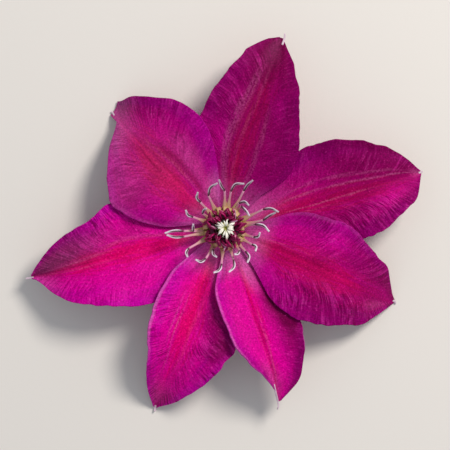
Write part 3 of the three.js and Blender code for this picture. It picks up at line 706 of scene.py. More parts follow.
def midrib_height(sepal, distance):
    """Height of the midrib: up from the claw to the crest, then down to the tip."""
    claw_height = CLAW_HEIGHT + LEVEL_STEP * sepal["level"]
    crest_distance, crest_height = sepal["crest"]
    if distance < crest_distance:
        return mix(claw_height, crest_height, smoothstep(distance, CLAW_RADIUS, crest_distance))
    fallen = (distance - crest_distance) / (sepal["reach"] - crest_distance)
    return mix(crest_height, sepal["tip_height"], fallen * fallen)


def edge_lift(lifts, distance, reach):
    """How far an edge is raised over the midrib at this distance."""
    amount = mix(*lifts, smoothstep(distance, *LIFT_CHANGES))
    opening = smoothstep(distance, CLAW_RADIUS, LIFT_OPENS_AT)
    closing = 1 - LIFT_CLOSING * smoothstep(distance, reach - LIFT_CLOSES_BEFORE_TIP, reach)
    return amount * opening * closing


def edge_waviness(sepal, along, distance, is_left):
    """Small notches and waves of the outline in millimetres, fading out at claw and tip."""
    waves = ripple(distance, sepal["azimuth"] + OUTLINE_SIDES_APART * is_left, 0, OUTLINE_WAVES)
    fading = smoothstep(distance, *OUTLINE_REACH) * (1 - along ** OUTLINE_TIP_POWER)
    return sepal["waviness"] * waves * fading


def sepal_section(sepal, along):
    """What all the points at one share of the way from claw to tip have in common."""
    reach = sepal["reach"]
    distance = mix(CLAW_RADIUS, reach, along)
    midrib = smooth_at(sepal["midrib"], distance)
    left = smooth_at(edge_stations(sepal, "left"), distance) - midrib
    right = smooth_at(edge_stations(sepal, "right"), distance) + midrib
    left += edge_waviness(sepal, along, distance, True)
    right += edge_waviness(sepal, along, distance, False)
    closing = 1 - SHOULDER_CLOSING * smoothstep(distance, reach - SHOULDER_CLOSES_BEFORE_TIP, reach)
    return {
        "along": along,
        "distance": distance,
        "midrib": midrib,
        "height": midrib_height(sepal, distance),
        "half_width": (max(right, TIP_HALF_WIDTH), max(left, TIP_HALF_WIDTH)),
        "lift": tuple(edge_lift(sepal[side], distance, reach) for side in ("right_lift", "left_lift")),
        "shoulder": sepal["shoulder"][0] * smoothstep(distance, *SHOULDER_REACH) * closing,
        "ruffled": smoothstep(distance, *RUFFLE_REACH) * (1 - along ** RUFFLE_TIP_POWER),
    }


def vein_place(sepal, distance, side):
    """Where the side vein through a point leaves the midrib. Side veins run out and forward, and
    wander a little."""
    forward = VEIN_SLANT * abs(side) + VEIN_LEAD * (1 - math.exp(-abs(side) / VEIN_BEND))
    return distance - forward + ripple(distance, side, sepal["azimuth"], VEIN_WANDER)


def patch_strength(patches, along, across):
    """Sum of what each patch adds at a point of the blade."""
    total = 0.0
    for place_along, place_across, reach_along, reach_across, amount in patches:
        off = math.hypot((along - place_along) / reach_along, (across - place_across) / reach_across)
        total += amount * smoothstep(off, *PATCH_FADE)
    return total


def lengthwise_lines(sepal, section, across):
    """How much a point lies on the pale ribs and in the dark furrows that run along the blade."""
    along = section["along"]
    wander = ripple(section["distance"], across, sepal["azimuth"], LINE_WANDER)
    ribs = 0.0
    furrows = 0.0
    for at_claw, at_tip, half_width, start, end, amount in sepal["lines"]:
        off = abs(across - mix(at_claw, at_tip, along) - wander) / half_width
        ends = smoothstep(along, start, start + LINE_RISE) * smoothstep(along, end, end - LINE_FALL)
        here = abs(amount) * smoothstep(off, *LINE_FADE) * ends
        if amount > 0:
            ribs = max(ribs, here)
        else:
            furrows = max(furrows, here)
    return ribs, furrows


def fine_relief(sepal, settings, section, across, side):
    """Groove, ribs, wrinkles and soft waves that the blade has over its plain form, in millimetres."""
    seed = sepal["azimuth"]
    distance = section["distance"]
    along = section["along"]
    ribs, furrows = lengthwise_lines(sepal, section, across)
    groove = -math.exp(-(side / GROOVE_HALF_WIDTH) ** 2)
    banks = BANK_SHARE * math.exp(-((abs(side) - BANK_PLACE) / BANK_HALF_WIDTH) ** 2)
    lined = settings.groove / MM * (groove + banks + FURROW_SHARE * (RIB_TO_FURROW * ribs - furrows))
    lined *= smoothstep(distance, *GROOVE_REACH) * (1 - along ** GROOVE_TIP_POWER)
    vein = vein_place(sepal, distance, side)
    wrinkle = ripple(vein, abs(side), seed + across * WRINKLE_SIDES_APART, WRINKLES)
    wrinkle *= smoothstep(abs(across), *WRINKLE_SPREAD) * smoothstep(distance, *WRINKLE_REACH)
    wave = ripple(distance, side, seed, WAVES) + ripple(distance, across, seed, PLEATS)
    wave *= smoothstep(distance, *WAVE_REACH) * (1 - along ** WAVE_TIP_POWER)
    return lined + settings.relief / MM * wrinkle + wave


def sepal_point(sepal, settings, section, across):
    """A point of a sepal's middle surface in millimetres, and its distance from the midrib."""
    is_left = across > 0
    side = across * section["half_width"][is_left]
    spread = abs(across)
    phase = 2 * math.pi * section["distance"] / RUFFLE_LENGTH + sepal["azimuth"]
    wave = math.sin(phase + (RUFFLE_TURN if is_left else -RUFFLE_TURN))
    ruffle = settings.ruffle / MM * spread ** 3 * wave * section["ruffled"]
    height = section["height"] + section["lift"][is_left] * spread ** CROSS_POWER + ruffle
    height += fine_relief(sepal, settings, section, across, side)
    outward = section["distance"] + (0 if is_left else section["shoulder"] * across * across)
    return Vector((outward, section["midrib"] + side, height)), side


def polar(azimuth, radius, height, side=0.0):
    """Point at an azimuth in degrees. Its radius and height from the axis, and how far it lies to
    the left of that azimuth, are in millimetres."""
    angle = math.radians(azimuth)
    return FLOWER_AXIS + MM * Vector((
        radius * math.cos(angle) - side * math.sin(angle),
        radius * math.sin(angle) + side * math.cos(angle),
        height,
    ))


def placed(sepal, point):
    """A point given along, beside and above a sepal's axis, in metres in the shared frame."""
    outward, side, height = point
    return polar(sepal["azimuth"], outward, height, side)


def colour_zones(sepal, section, across, side):
    """How near a point is to the crimson bar, how far out, how deep in colour, partly as painted shade
    and light, and how much it belongs to the pale claw, the painted highlight along the rolled margin
    and the veined part."""
    along = section["along"]
    spread = abs(across)
    is_left = across > 0
    at_claw, at_tip, half_width, fades_at, strength = sepal["bar"]
    nearness = 1 - abs(across - mix(at_claw, at_tip, along)) / (2 * half_width)
    length = smoothstep(along, *BAR_BEGINS)
    length *= smoothstep(along, fades_at + BAR_FADE[0], fades_at + BAR_FADE[1])
    depth = patch_strength(sepal["patches"], along, across)
    claw = sepal["claw"] * smoothstep(along, *CLAW_FADE)
    rolled_highlight = sepal["rolled_highlight"][not is_left] * smoothstep(spread, *ROLLED_HIGHLIGHT_SPREAD)
    rolled_highlight *= smoothstep(along, *ROLLED_HIGHLIGHT_BEGINS) * smoothstep(along, *ROLLED_HIGHLIGHT_FADE)
    veined = sepal["hatch"][not is_left] * smoothstep(spread, *VEINED_SPREAD)
    veined *= smoothstep(along, *VEINED_BEGINS)
    veined *= mix(*VEINED_STRENGTH, smoothstep(along, *VEINED_STRONGER))
    cloud = ripple(section["distance"], side, sepal["azimuth"], VEINED_CLOUDS)
    veined *= mix(*VEINED_CLOUD_STRENGTH, smoothstep(cloud, *VEINED_CLOUD_REACH))
    return (nearness * strength * length, spread, depth), (claw, rolled_highlight, veined)


def blade(bm, sepal, settings):
    """A sepal's blade: a grid bent to its form and given its thickness."""
    names = ("share", "run", "veins", "zones", "trim", "lined")
    share, run, veins, zones, trim, lined = (bm.verts.layers.float_vector.new(name) for name in names)
    bmesh.ops.create_grid(bm, x_segments=settings.rows, y_segments=settings.columns, size=0.5)
    sections = {}
    for vert in bm.verts:
        row = round(min(vert.co.x + 0.5, 1.0), 6)
        if row not in sections:
            sections[row] = sepal_section(sepal, 1 - (1 - row) ** ROW_CROWDING)
        section = sections[row]
        across = min(max(vert.co.y * 2, -1.0), 1.0)
        point, side = sepal_point(sepal, settings, section, across)
        vert[share] = (section["along"], across, abs(across))
        vert[run] = (section["distance"], across * RUN_WIDTH, sepal["azimuth"])
        vein = vein_place(sepal, section["distance"], side)
        vert[veins] = (vein, abs(side), sepal["azimuth"] + VEIN_SIDES_APART * (across > 0))
        vert[zones], vert[trim] = colour_zones(sepal, section, across, side)
        painted_sheen = patch_strength(sepal["sheen_patches"], section["along"], across)
        vert[lined] = (*lengthwise_lines(sepal, section, across), painted_sheen)
        vert.co = placed(sepal, point)
    bm.normal_update()
    upper = bm.faces[:]
    for vert in bm.verts:
        vert.co += vert.normal * settings.thickness / 2
    bmesh.ops.solidify(bm, geom=upper, thickness=settings.thickness)
    bm.normal_update()
    for face in bm.faces:
        on_border = all(max(v[share][2], abs(2 * v[share][0] - 1)) > 0.9999 for v in face.verts)
        skin = BACK_INDEX if face.normal.z < 0 else UPPER_INDEX
        face.material_index = RIM_INDEX if on_border else skin
        face.smooth = not on_border


def mucro(bm, sepal, settings):
    """The small pale hooked point that a sepal ends in."""
    path = []
    for past_end, side in sepal["point"]:
        distance = sepal["reach"] + past_end
        along = (distance - CLAW_RADIUS) / (sepal["reach"] - CLAW_RADIUS)
        section = sepal_section(sepal, min(along, 1.0))
        across = side / section["half_width"][side > 0]
        surface, _ = sepal_point(sepal, settings, section, min(max(across, -1.0), 1.0))
        path.append(placed(sepal, (distance, section["midrib"] + side, surface.z + POINT_RAISED)))

    def size(along):
        return mix(*POINT_HALF_WIDTH, along ** 2), mix(*POINT_HALF_THICKNESS, along)

    strap(bm, path, size, UP, POINT_STEPS, POINT_INDEX)


def unit_strap(steps):
    """A plain closed tube, one unit long, that straps are bent from. Its mesh is made once."""
    name = f"unit_strap_{steps}"
    if name in bpy.data.meshes:
        return bpy.data.meshes[name]
    bm = bmesh.new()
    bmesh.ops.create_cone(
        bm, cap_ends=True, cap_tris=False, segments=STRAP_SIDES, radius1=1, radius2=1, depth=1,
    )
    long_edges = [edge for edge in bm.edges if edge.verts[0].co.z * edge.verts[1].co.z < 0]
    bmesh.ops.subdivide_edges(bm, edges=long_edges, cuts=steps - 1)
    for face in bm.faces:
        face.smooth = len(face.verts) == 4
    mesh = bpy.data.meshes.new(name)
    bm.to_mesh(mesh)
    bm.free()
    return mesh


def strap(bm, path, half_size, flat, steps, material_index, marks=(0.0, 1)):
    """A closed strap along a path, with a shallow groove on both faces.

    half_size gives half its width and thickness in millimetres, and flat is the direction that its
    thickness lies nearest to. marks are a number that its material reads, and which side is first.
    """
    shape = bm.verts.layers.float_vector.get("strap") or bm.verts.layers.float_vector.new("strap")
    mark = bm.verts.layers.float.get("strap_mark") or bm.verts.layers.float.new("strap_mark")
    first_vert = len(bm.verts)
    first_face = len(bm.faces)
    bm.from_mesh(unit_strap(steps))
    bm.verts.ensure_lookup_table()
    bm.faces.ensure_lookup_table()
    curve = smooth_path(path)
    frames = {}
    for vert in bm.verts[first_vert:]:
        along = round(vert.co.z + 0.5, 5)
        if along not in frames:
            place, tangent = at_share(curve, along)
            wide = flat.cross(tangent).normalized()
            frames[along] = (place, wide, tangent.cross(wide), half_size(along))
        place, wide, thick, (half_width, half_thickness) = frames[along]
        x, y = vert.co.x, vert.co.y
        ridge = mix(*STRAP_GROOVE, min(abs(x) / STRAP_GROOVE_HALF_WIDTH, 1.0))
        vert[shape] = (along, -x * marks[1], y)
        vert[mark] = marks[0]
        vert.co = place + MM * (wide * x * half_width + thick * y * ridge * half_thickness)
    for face in bm.faces[first_face:]:
        face.material_index = material_index


def smooth_path(points):
    """A fine polyline along a smooth curve through the points, with the length up to each point."""
    ends = [points[0] * 2 - points[1], *points, points[-1] * 2 - points[-2]]
    fine = []
    for index in range(1, len(ends) - 2):
        a, b, c, d = ends[index - 1:index + 3]
        for step in range(PATH_STEPS):
            u = step / PATH_STEPS
            fine.append(
                (b * 2 + (c - a) * u + (a * 2 - b * 5 + c * 4 - d) * u * u
                 + (b * 3 - a - c * 3 + d) * u ** 3) / 2
            )
    fine.append(points[-1].copy())
    lengths = [0.0]
    for before, after in zip(fine, fine[1:]):
        lengths.append(lengths[-1] + (after - before).length)
    return fine, lengths


def at_share(curve, share):
    """Point and direction at a share of a fine polyline's length."""
    fine, lengths = curve
    wanted = share * lengths[-1]
    index = 0
    while index < len(fine) - 2 and lengths[index + 1] < wanted:
        index += 1
    span = lengths[index + 1] - lengths[index]
    place = fine[index].lerp(fine[index + 1], (wanted - lengths[index]) / span)
    before = fine[max(index - 1, 0)]
    after = fine[min(index + 2, len(fine) - 1)]
    return place, (after - before).normalized()


def outward_at(azimuth):
    """The direction away from the axis at an azimuth in degrees."""
    return (polar(azimuth, 1, 0) - polar(azimuth, 0, 0)).normalized()


def outer_stamen(bm, row, settings, wobble):
    """An open stamen: a filament that leans out over the sepals and a curled flat anther."""
    root_azimuth, root_radius, tip_azimuth, tip_radius, bow, silver = row
    root_height = ANTHER_ROOT[1] + ANTHER_SLOPE * (root_radius - ANTHER_ROOT[0]) + wobble
    curl = settings.anther_curl / MM
    root = polar(root_azimuth, root_radius, root_height)
    tip = polar(tip_azimuth, tip_radius, root_height + curl)
    sideways = UP.cross(tip - root).normalized()
    middle = root.lerp(tip, 0.5) + MM * (sideways * bow + UP * ANTHER_MIDDLE_CURL * curl)
    foot = polar(root_azimuth, *FILAMENT_ROOT)
    bend = polar(root_azimuth, *FILAMENT_BEND)
    foot_half = settings.foot_width / MM / 2
    end_half = settings.end_width / MM / 2
    anther_half = (settings.anther_width / MM / 2, settings.anther_thickness / MM / 2)

    def filament_size(along):
        narrow = smoothstep(along, *FILAMENT_NARROWS)
        return mix(foot_half, end_half, narrow), mix(*FILAMENT_HALF_THICKNESS, narrow)

    def anther_size(along):
        closing = 1 - ANTHER_CLOSING * smoothstep(along, *ANTHER_CLOSES)
        swell = smoothstep(along, *ANTHER_SWELLS) * closing
        return tuple(mix(waist, half, swell) for waist, half in zip(ANTHER_WAIST, anther_half))

    joint = root.lerp(middle, FILAMENT_JOINS)
    strap(bm, [foot, bend, joint], filament_size, UP, FILAMENT_STEPS, 0)
    strap(bm, [root, middle, tip], anther_size, UP, ANTHER_STEPS, 1, (silver, -1 if bow > 0 else 1))


def filament_foot(bm, azimuth, settings, rng):
    """The foot of a filament whose anther stands in the boss: it rises round the boss and into it."""
    bulge = (rng.uniform(*BOSS_FILAMENT_BULGE), BOSS_FILAMENT_BULGE_HEIGHT)
    path = [polar(azimuth, *place) for place in (FILAMENT_ROOT, bulge, BOSS_FILAMENT_END)]
    half_width = settings.foot_width / MM / 2

    def size(along):
        return half_width * (1 - BOSS_FILAMENT_NARROWING * along), BOSS_FILAMENT_HALF_THICKNESS

    strap(bm, path, size, outward_at(azimuth), BOSS_FILAMENT_STEPS, 0, (1.0, 1))


def boss_anther(bm, row, azimuth, settings, rng):
    """An unopened anther: a short plump strap with a groove between its two pollen sacs."""
    lean = jitter(rng, BOSS_LEAN)
    longer = jitter(rng, BOSS_LONGER)
    path = []
    for part, (leant, out, up) in BOSS_BENDS.items():
        radius, height = row[part]
        path.append(polar(azimuth + lean * leant, radius + longer * out, height + longer * up))
    half_width = row["half_width"] * rng.uniform(*BOSS_WIDTHS)
    half_thickness = settings.boss_thickness / MM / 2

    def size(along):
        closing = 1 - BOSS_CLOSING * smoothstep(along, *BOSS_CLOSES)
        return half_width * closing, half_thickness * closing

    outward = outward_at(azimuth)
    facing = UP + outward * row["stands"] + UP.cross(outward) * jitter(rng, BOSS_TWIST)
    strap(bm, path, size, facing, BOSS_STEPS, 0, (rng.random(), 1))


def spun_profile(bm, profile, steps):
    """A closed profile of radii and heights, turned round the flower's axis. It comes after straps."""
    first_vert = len(bm.verts)
    first_face = len(bm.faces)
    verts = [bm.verts.new(polar(0, radius, height)) for radius, height in profile]
    edges = [bm.edges.new(pair) for pair in zip(verts, verts[1:])]
    if profile[0][0] > 0:
        edges.append(bm.edges.new((verts[-1], verts[0])))
    bmesh.ops.spin(
        bm, geom=verts + edges, cent=FLOWER_AXIS, axis=(0, 0, 1), angle=math.tau, steps=steps,
        use_merge=True,
    )
    bm.verts.ensure_lookup_table()
    bmesh.ops.remove_doubles(bm, verts=bm.verts[first_vert:], dist=WELD_DISTANCE * MM)
    bm.faces.ensure_lookup_table()
    spun = bm.faces[first_face:]
    bmesh.ops.recalc_face_normals(bm, faces=spun)
    for face in spun:
        face.smooth = True


def style_arm(bm, azimuth, reach, height, settings, rng):
    """A style: a narrow strap that spreads out from the middle, widest and hairy near its end."""
    foot_radius, foot_height = STYLE_FOOT
    offset = MM * Vector((*STYLE_CENTRE, 0))
    lean = jitter(rng, STYLE_LEAN)
    path = []
    for out, up, more, leant in STYLE_PATH:
        place = (mix(foot_radius, reach, out), mix(foot_height, height, up) + more)
        path.append(polar(azimuth + lean * leant, *place) + offset)
    half_width = settings.style_width / MM / 2 * rng.uniform(*STYLE_WIDTHS)

    def size(along):
        swell = mix(*STYLE_SWELLING, smoothstep(along, *STYLE_SWELLS))
        closing = 1 - STYLE_CLOSING * smoothstep(along, *STYLE_CLOSES)
        return half_width * swell * closing, mix(*STYLE_HALF_THICKNESS, closing)

    strap(bm, path, size, UP, STYLE_STEPS, 0)
    curve = smooth_path(path)
    for _ in range(settings.style_hairs):
        place, tangent = at_share(curve, rng.uniform(*STYLE_HAIR_REACH))
        spread = Vector((jitter(rng, 1), jitter(rng, 1), rng.uniform(*STYLE_HAIR_RISE)))
        length = rng.uniform(*STYLE_HAIR_LENGTH)
        hair(bm, place, tangent * STYLE_HAIR_SWEEP + spread, length, STYLE_HAIR_RADIUS, 0)


def hair(bm, root, direction, length, radius, material_index):
    """A fine three-sided hair that narrows to its tip. length and radius are in millimetres."""
    direction = direction.normalized()
    place = Matrix.Translation(root + direction * length * MM / 2)
    turned = direction.to_track_quat("Z", "Y").to_matrix().to_4x4()
    shape = bm.verts.layers.float_vector.get("strap")
    made = bmesh.ops.create_cone(
        bm, cap_ends=True, cap_tris=True, segments=3, radius1=radius * MM, radius2=radius * MM * HAIR_TIP,
        depth=length * MM, matrix=place @ turned,
    )
    for vert in made["verts"]:
        if shape:
            vert[shape] = (1.0, 0.0, 0.0)
        for face in vert.link_faces:
            face.material_index = material_index


def down_on_back(bm, sepal, settings, rng):
    """Short down on the three ribs of a sepal's back."""
    for _ in range(settings.back_hairs):
        section = sepal_section(sepal, rng.uniform(*BACK_HAIR_REACH))
        across = rng.choice((-1, 0, 1)) * BACK_RIB_SPACING / 2 + rng.gauss(0, BACK_HAIR_SCATTER)
        point, _ = sepal_point(sepal, settings, section, across)
        point.z -= BACK_HAIR_ROOT * settings.thickness / MM
        lean = Vector((jitter(rng, BACK_HAIR_LEAN), jitter(rng, BACK_HAIR_LEAN), -1))
        length = rng.uniform(*BACK_HAIR_LENGTH)
        if point.z > length + BACK_HAIR_CLEARANCE:
            hair(bm, placed(sepal, point), lean, length, BACK_HAIR_RADIUS, DOWN_INDEX)


def add_node(tree, kind, settings=None, links=None):
    """Add a shader node with its settings. Each input is linked to a socket or a node's first
    output, or set to a value."""
    node = tree.nodes.new(f"ShaderNode{kind}")
    for name, value in (settings or {}).items():
        setattr(node, name, value)
    for socket, source in (links or {}).items():
        target = node.inputs[socket]
        if isinstance(source, bpy.types.Node):
            source = next(output for output in source.outputs if output.enabled)
        if isinstance(source, bpy.types.NodeSocket):
            tree.links.new(source, target)
        elif target.type == "RGBA":
            target.default_value = (*source[:3], 1.0)
        else:
            target.default_value = source
    return node


LINEAR = {"interpolation_type": "LINEAR"}
SMOOTH = {"interpolation_type": "SMOOTHSTEP"}
MULTIPLY = {"operation": "MULTIPLY"}
MULTIPLY_ADD = {"operation": "MULTIPLY_ADD"}
OVER = {"data_type": "RGBA"}
FULL = (0.0, 1.0)


def new_material(name):
    """An empty node material and its node tree."""
    material = bpy.data.materials.new(name)
    material.use_nodes = True
    material.node_tree.nodes.clear()
    return material, material.node_tree


def finish_material(material, colour, height, relief, surface):
    """Give a material its colour and its surface, with a bump of so many millimetres."""
    tree = material.node_tree
    bump = add_node(tree, "Bump", None, {"Strength": 1.0, "Distance": relief * MM, "Height": height})
    shader = add_node(tree, "BsdfPrincipled", None, {"Base Color": colour, "Normal": bump, **surface})
    add_node(tree, "OutputMaterial", None, {"Surface": shader})
    return material


def stored_numbers(tree, attribute):
    """The three numbers that an attribute stores at each point of a piece."""
    stored = add_node(tree, "Attribute", {"attribute_name": attribute})
    return add_node(tree, "SeparateXYZ", None, {0: stored.outputs["Vector"]}).outputs


def growth_streaks(tree, attribute, sizes, detail):
    """Noise drawn out with the growth of the blade. sizes are how long its streaks are, in
    millimetres, along the attribute's first and second number."""
    stored = add_node(tree, "Attribute", {"attribute_name": attribute})
    scale = (1 / sizes[0], 1 / sizes[1], 1.0)
    drawn_out = add_node(tree, "Mapping", None, {"Vector": stored.outputs["Vector"], "Scale": scale})
    return add_node(tree, "TexNoise", None, {"Vector": drawn_out, "Scale": 1.0, "Detail": detail})


def tissue_grain(tree, width, detail):
    """Noise in round grains of a width in millimetres."""
    place = add_node(tree, "TexCoord").outputs["Object"]
    return add_node(tree, "TexNoise", None, {"Vector": place, "Scale": 1 / (width * MM), "Detail": detail})


def lay_on(tree, ground, layers):
    """Lay colours over a ground, one after another.

    A layer has its curve, the number that it follows, the values of that number at which it begins
    and is full, how strong it is at both, the shares that hold it back, and its colour.
    """
    for curve, value, reach, strength, masks, colour in layers:
        share = add_node(tree, "MapRange", curve, {
            "Value": value, "From Min": reach[0], "From Max": reach[1],
            "To Min": strength[0], "To Max": strength[1],
        })
        for mask in masks:
            share = add_node(tree, "Math", MULTIPLY, {0: share, 1: mask})
        ground = add_node(tree, "Mix", OVER, {0: share, 6: ground, 7: colour})
    return ground


def sepal_upper_skin(sepal, settings):
    """Living sepal skin, upper side.

    Satin rather than glossy, deeply coloured, with a streaked crimson bar, a purple margin and fine
    wrinkles that run out and forward between the side veins. Painted shade and painted light lie over
    it in patches, between and on the folds and in the furrows, with a painted sheen and a painted
    highlight along the rolled margins.
    """
    material, tree = new_material(f"{sepal['name']}_upper_skin")
    tone_and_light = sepal["tone_and_light"]
    # A sepal's colours lie between their deep shaded and bright lit copies, partly its own tone and partly
    # painted shade and painted light
    body = blend(settings.deep_shaded_body, settings.bright_lit_body, tone_and_light)
    bar = blend(settings.deep_shaded_bar, settings.bright_lit_bar, tone_and_light)
    margin = blend(settings.deep_shaded_margin, settings.bright_lit_margin, tone_and_light)
    painted_light = blend(settings.painted_light_body, margin, 0.25)
    near_bar, spread, depth = stored_numbers(tree, "zones")
    claw, rolled_highlight, veined = stored_numbers(tree, "trim")
    ribs, furrows, painted_sheen = stored_numbers(tree, "lined")

    # Streaks 20 mm long and 2.5 mm wide, fibres 7 mm by 0.8 mm, side veins about 0.6 mm apart, which
    # is their real spacing, folds 2 mm apart, clouds 8 mm wide, and the grain of the velvet, which
    # is finer than can be seen and is drawn 0.6 mm wide to show
    streaks = growth_streaks(tree, "run", (20.0, 2.5), 3.0)
    fibres = growth_streaks(tree, "run", (7.14, 0.833), 3.0)
    veins = growth_streaks(tree, "veins", (0.588, 3.85), 2.0)
    folds = growth_streaks(tree, "veins", (2.0, 11.1), 1.0)
    grain = tissue_grain(tree, 0.625, 2.0)
    clouds = tissue_grain(tree, 7.69, 3.0)

    to_margin = add_node(tree, "Math", MULTIPLY_ADD, {0: streaks, 1: 0.9, 2: spread})
    to_bar = add_node(tree, "Math", MULTIPLY_ADD, {0: fibres, 1: 1.3, 2: near_bar})
    depth = add_node(tree, "Math", MULTIPLY_ADD, {0: clouds, 1: 0.5, 2: depth})
    speckled = add_node(tree, "MapRange", SMOOTH, {"Value": grain, "From Min": 0.25, "From Max": 0.6})
    colour = lay_on(tree, body, (
        # Purple margin, then the bar with its ragged sides
        (SMOOTH, to_margin, (0.9, 1.5), FULL, (), margin),
        (SMOOTH, to_bar, (0.6, 1.45), (0.0, 0.95), (), bar),
        # Patches of painted shade and painted light, such as the shadows of the sepals above, partly the
        # sepal's own deeper and brighter colour, with cloudy sides
        (LINEAR, depth, (0.25, 1.25), (0.0, 0.95), (), settings.shadow_body),
        (LINEAR, depth, (0.25, -0.75), (0.0, 0.9), (), painted_light),
        # Side veins: painted shade between the folds, and a painted highlight on top of them
        (SMOOTH, veins, (0.54, 0.34), (0.0, 0.6), (veined,), blend(settings.shadow_body, margin, 0.1)),
        (SMOOTH, veins, (0.53, 0.7), (0.0, 0.24), (veined,), blend(painted_light, settings.rib, 0.32)),
        (SMOOTH, folds, (0.54, 0.72), (0.0, 0.26), (veined,), blend(painted_light, settings.rib, 0.14)),
        # Painted pale velvety sheen, strongest on the tops of the folds
        (LINEAR, veins, (0.3, 0.7), (0.5, 1.0), (painted_sheen,), settings.painted_sheen),
        # Greyish pink ribs, partly a painted sheen, broken up by the fibres, and painted shade in the
        # furrows along the blade
        (SMOOTH, fibres, (0.3, 0.6), FULL, (speckled, ribs), blend(bar, settings.rib, 0.8)),
        (LINEAR, furrows, FULL, FULL, (), blend(settings.furrow_shade, bar, 0.3)),
        # Pale claw, paler still as painted light against the shade under the stamens, and a painted
        # highlight along the rolled margin
        (SMOOTH, streaks, (0.25, 0.6), (0.35, 1.0), (claw,), settings.claw),
        (SMOOTH, clouds, (0.3, 0.55), FULL, (rolled_highlight,), settings.rolled_highlight),
    ))
    # The fine grain over everything, and bright specks where the velvet catches the light
    shades = add_node(tree, "MapRange", LINEAR, {
        "Value": grain, "From Min": 0.3, "From Max": 0.7, "To Min": 0.7, "To Max": 1.26,
    })
    colour = add_node(tree, "Mix", {**OVER, "blend_type": "MULTIPLY"}, {0: 1.0, 6: colour, 7: shades})
    speck_strength = (0.0, 0.1 + 0.3 * tone_and_light)
    colour = lay_on(tree, colour, (
        (SMOOTH, grain, (0.66, 0.76), speck_strength, (), blend(painted_light, settings.claw, 0.6)),
    ))

    height = add_node(tree, "Math", {"operation": "ADD"}, {0: veins, 1: folds})
    height = add_node(tree, "Math", MULTIPLY, {0: height, 1: veined})
    for pattern, share in ((fibres, 0.4), (grain, 0.25)):
        height = add_node(tree, "Math", MULTIPLY_ADD, {0: pattern, 1: share, 2: height})
    return finish_material(material, colour, height, 0.2, {
        "Roughness": 0.5, "IOR": 1.42, "Specular IOR Level": 0.1, "Specular Tint": linear(VELVET_GLEAM),
    })


def sepal_back_skin(sepal, settings):
    """Living sepal skin, back: paler, matt and downy, with a greenish bar of three ribs."""
    material, tree = new_material(f"{sepal['name']}_back_skin")
    along, _, spread = stored_numbers(tree, "share")
    # Streaks 17 mm long and 2 mm wide, and the side veins that show through, 2.4 mm apart
    streaks = growth_streaks(tree, "run", (16.7, 2.0), 3.0)
    veins = growth_streaks(tree, "veins", (2.38, 14.3), 2.0)
    to_bar = add_node(tree, "Math", MULTIPLY_ADD, {0: streaks, 1: 0.4, 2: spread})
    bar = add_node(tree, "MapRange", SMOOTH, {
        "Value": to_bar, "From Min": 0.54, "From Max": 0.32, "To Max": 0.85,
    })
    shorter = add_node(tree, "MapRange", SMOOTH, {"Value": along, "From Min": 1.0, "From Max": 0.8})
    bar = add_node(tree, "Math", MULTIPLY, {0: bar, 1: shorter})
    # The three ribs: one in the middle and one on each side of it
    off_rib = add_node(tree, "Math", {"operation": "PINGPONG"}, {0: spread, 1: BACK_RIB_SPACING / 2})
    rib = add_node(tree, "MapRange", SMOOTH, {"Value": off_rib, "From Min": 0.035, "From Max": 0.0})
    rib = add_node(tree, "Math", MULTIPLY, {0: rib, 1: bar})
    colour = lay_on(tree, settings.underside, (
        (SMOOTH, veins, (0.35, 0.65), FULL, (), blend(settings.underside, settings.deep_shaded_margin, 0.45)),
        (LINEAR, bar, FULL, FULL, (), settings.underside_bar),
        (LINEAR, rib, FULL, FULL, (), blend(settings.underside_bar, settings.underside, 0.35)),
    ))
    height = add_node(tree, "Math", MULTIPLY_ADD, {0: rib, 1: 1.5, 2: veins})
    return finish_material(material, colour, height, 0.25, {
        "Roughness": 0.72, "IOR": 1.4, "Specular IOR Level": 0.2, "Sheen Weight": 0.25,
        "Sheen Roughness": 0.5,
    })


def plain_tissue(name, colour, roughness):
    """Thin living tissue in one tone, a little mottled, such as a margin or a hard point."""
    material, tree = new_material(name)
    mottle = tissue_grain(tree, 1.43, 2.0)
    darker = blend(colour, (0.0, 0.0, 0.0), 0.25)
    mottled = lay_on(tree, darker, ((LINEAR, mottle, FULL, FULL, (), colour),))
    surface = {"Roughness": roughness, "IOR": 1.42, "Specular IOR Level": 0.3}
    return finish_material(material, mottled, mottle, 0.05, surface)


def filament_tissue(settings):
    """Watery filament tissue: yellow-green at the foot and pink towards the anther, with a clear
    stripe along the middle."""
    material, tree = new_material("filament_tissue")
    along, across, _ = stored_numbers(tree, "strap")
    in_boss = add_node(tree, "Attribute", {"attribute_name": "strap_mark"}).outputs["Fac"]
    uneven = tissue_grain(tree, 3.33, 3.0)
    share = add_node(tree, "Math", MULTIPLY_ADD, {0: in_boss, 1: -1.0, 2: along})
    share = add_node(tree, "Math", MULTIPLY_ADD, {0: uneven, 1: 0.4, 2: share})
    off = add_node(tree, "Math", {"operation": "ABSOLUTE"}, {0: across})
    clear = blend(settings.filament_middle, (1.0, 0.9, 0.85), 0.35)
    colour = lay_on(tree, settings.filament_foot, (
        (SMOOTH, share, (0.5, 0.85), FULL, (), settings.filament_middle),
        (SMOOTH, share, (0.8, 1.15), FULL, (), settings.filament_end),
        (SMOOTH, off, (0.9, 0.2), (0.0, 0.35), (), clear),
    ))
    surface = {"Roughness": 0.42, "IOR": 1.4, "Specular IOR Level": 0.35}
    return finish_material(material, colour, uneven, 0.06, surface)


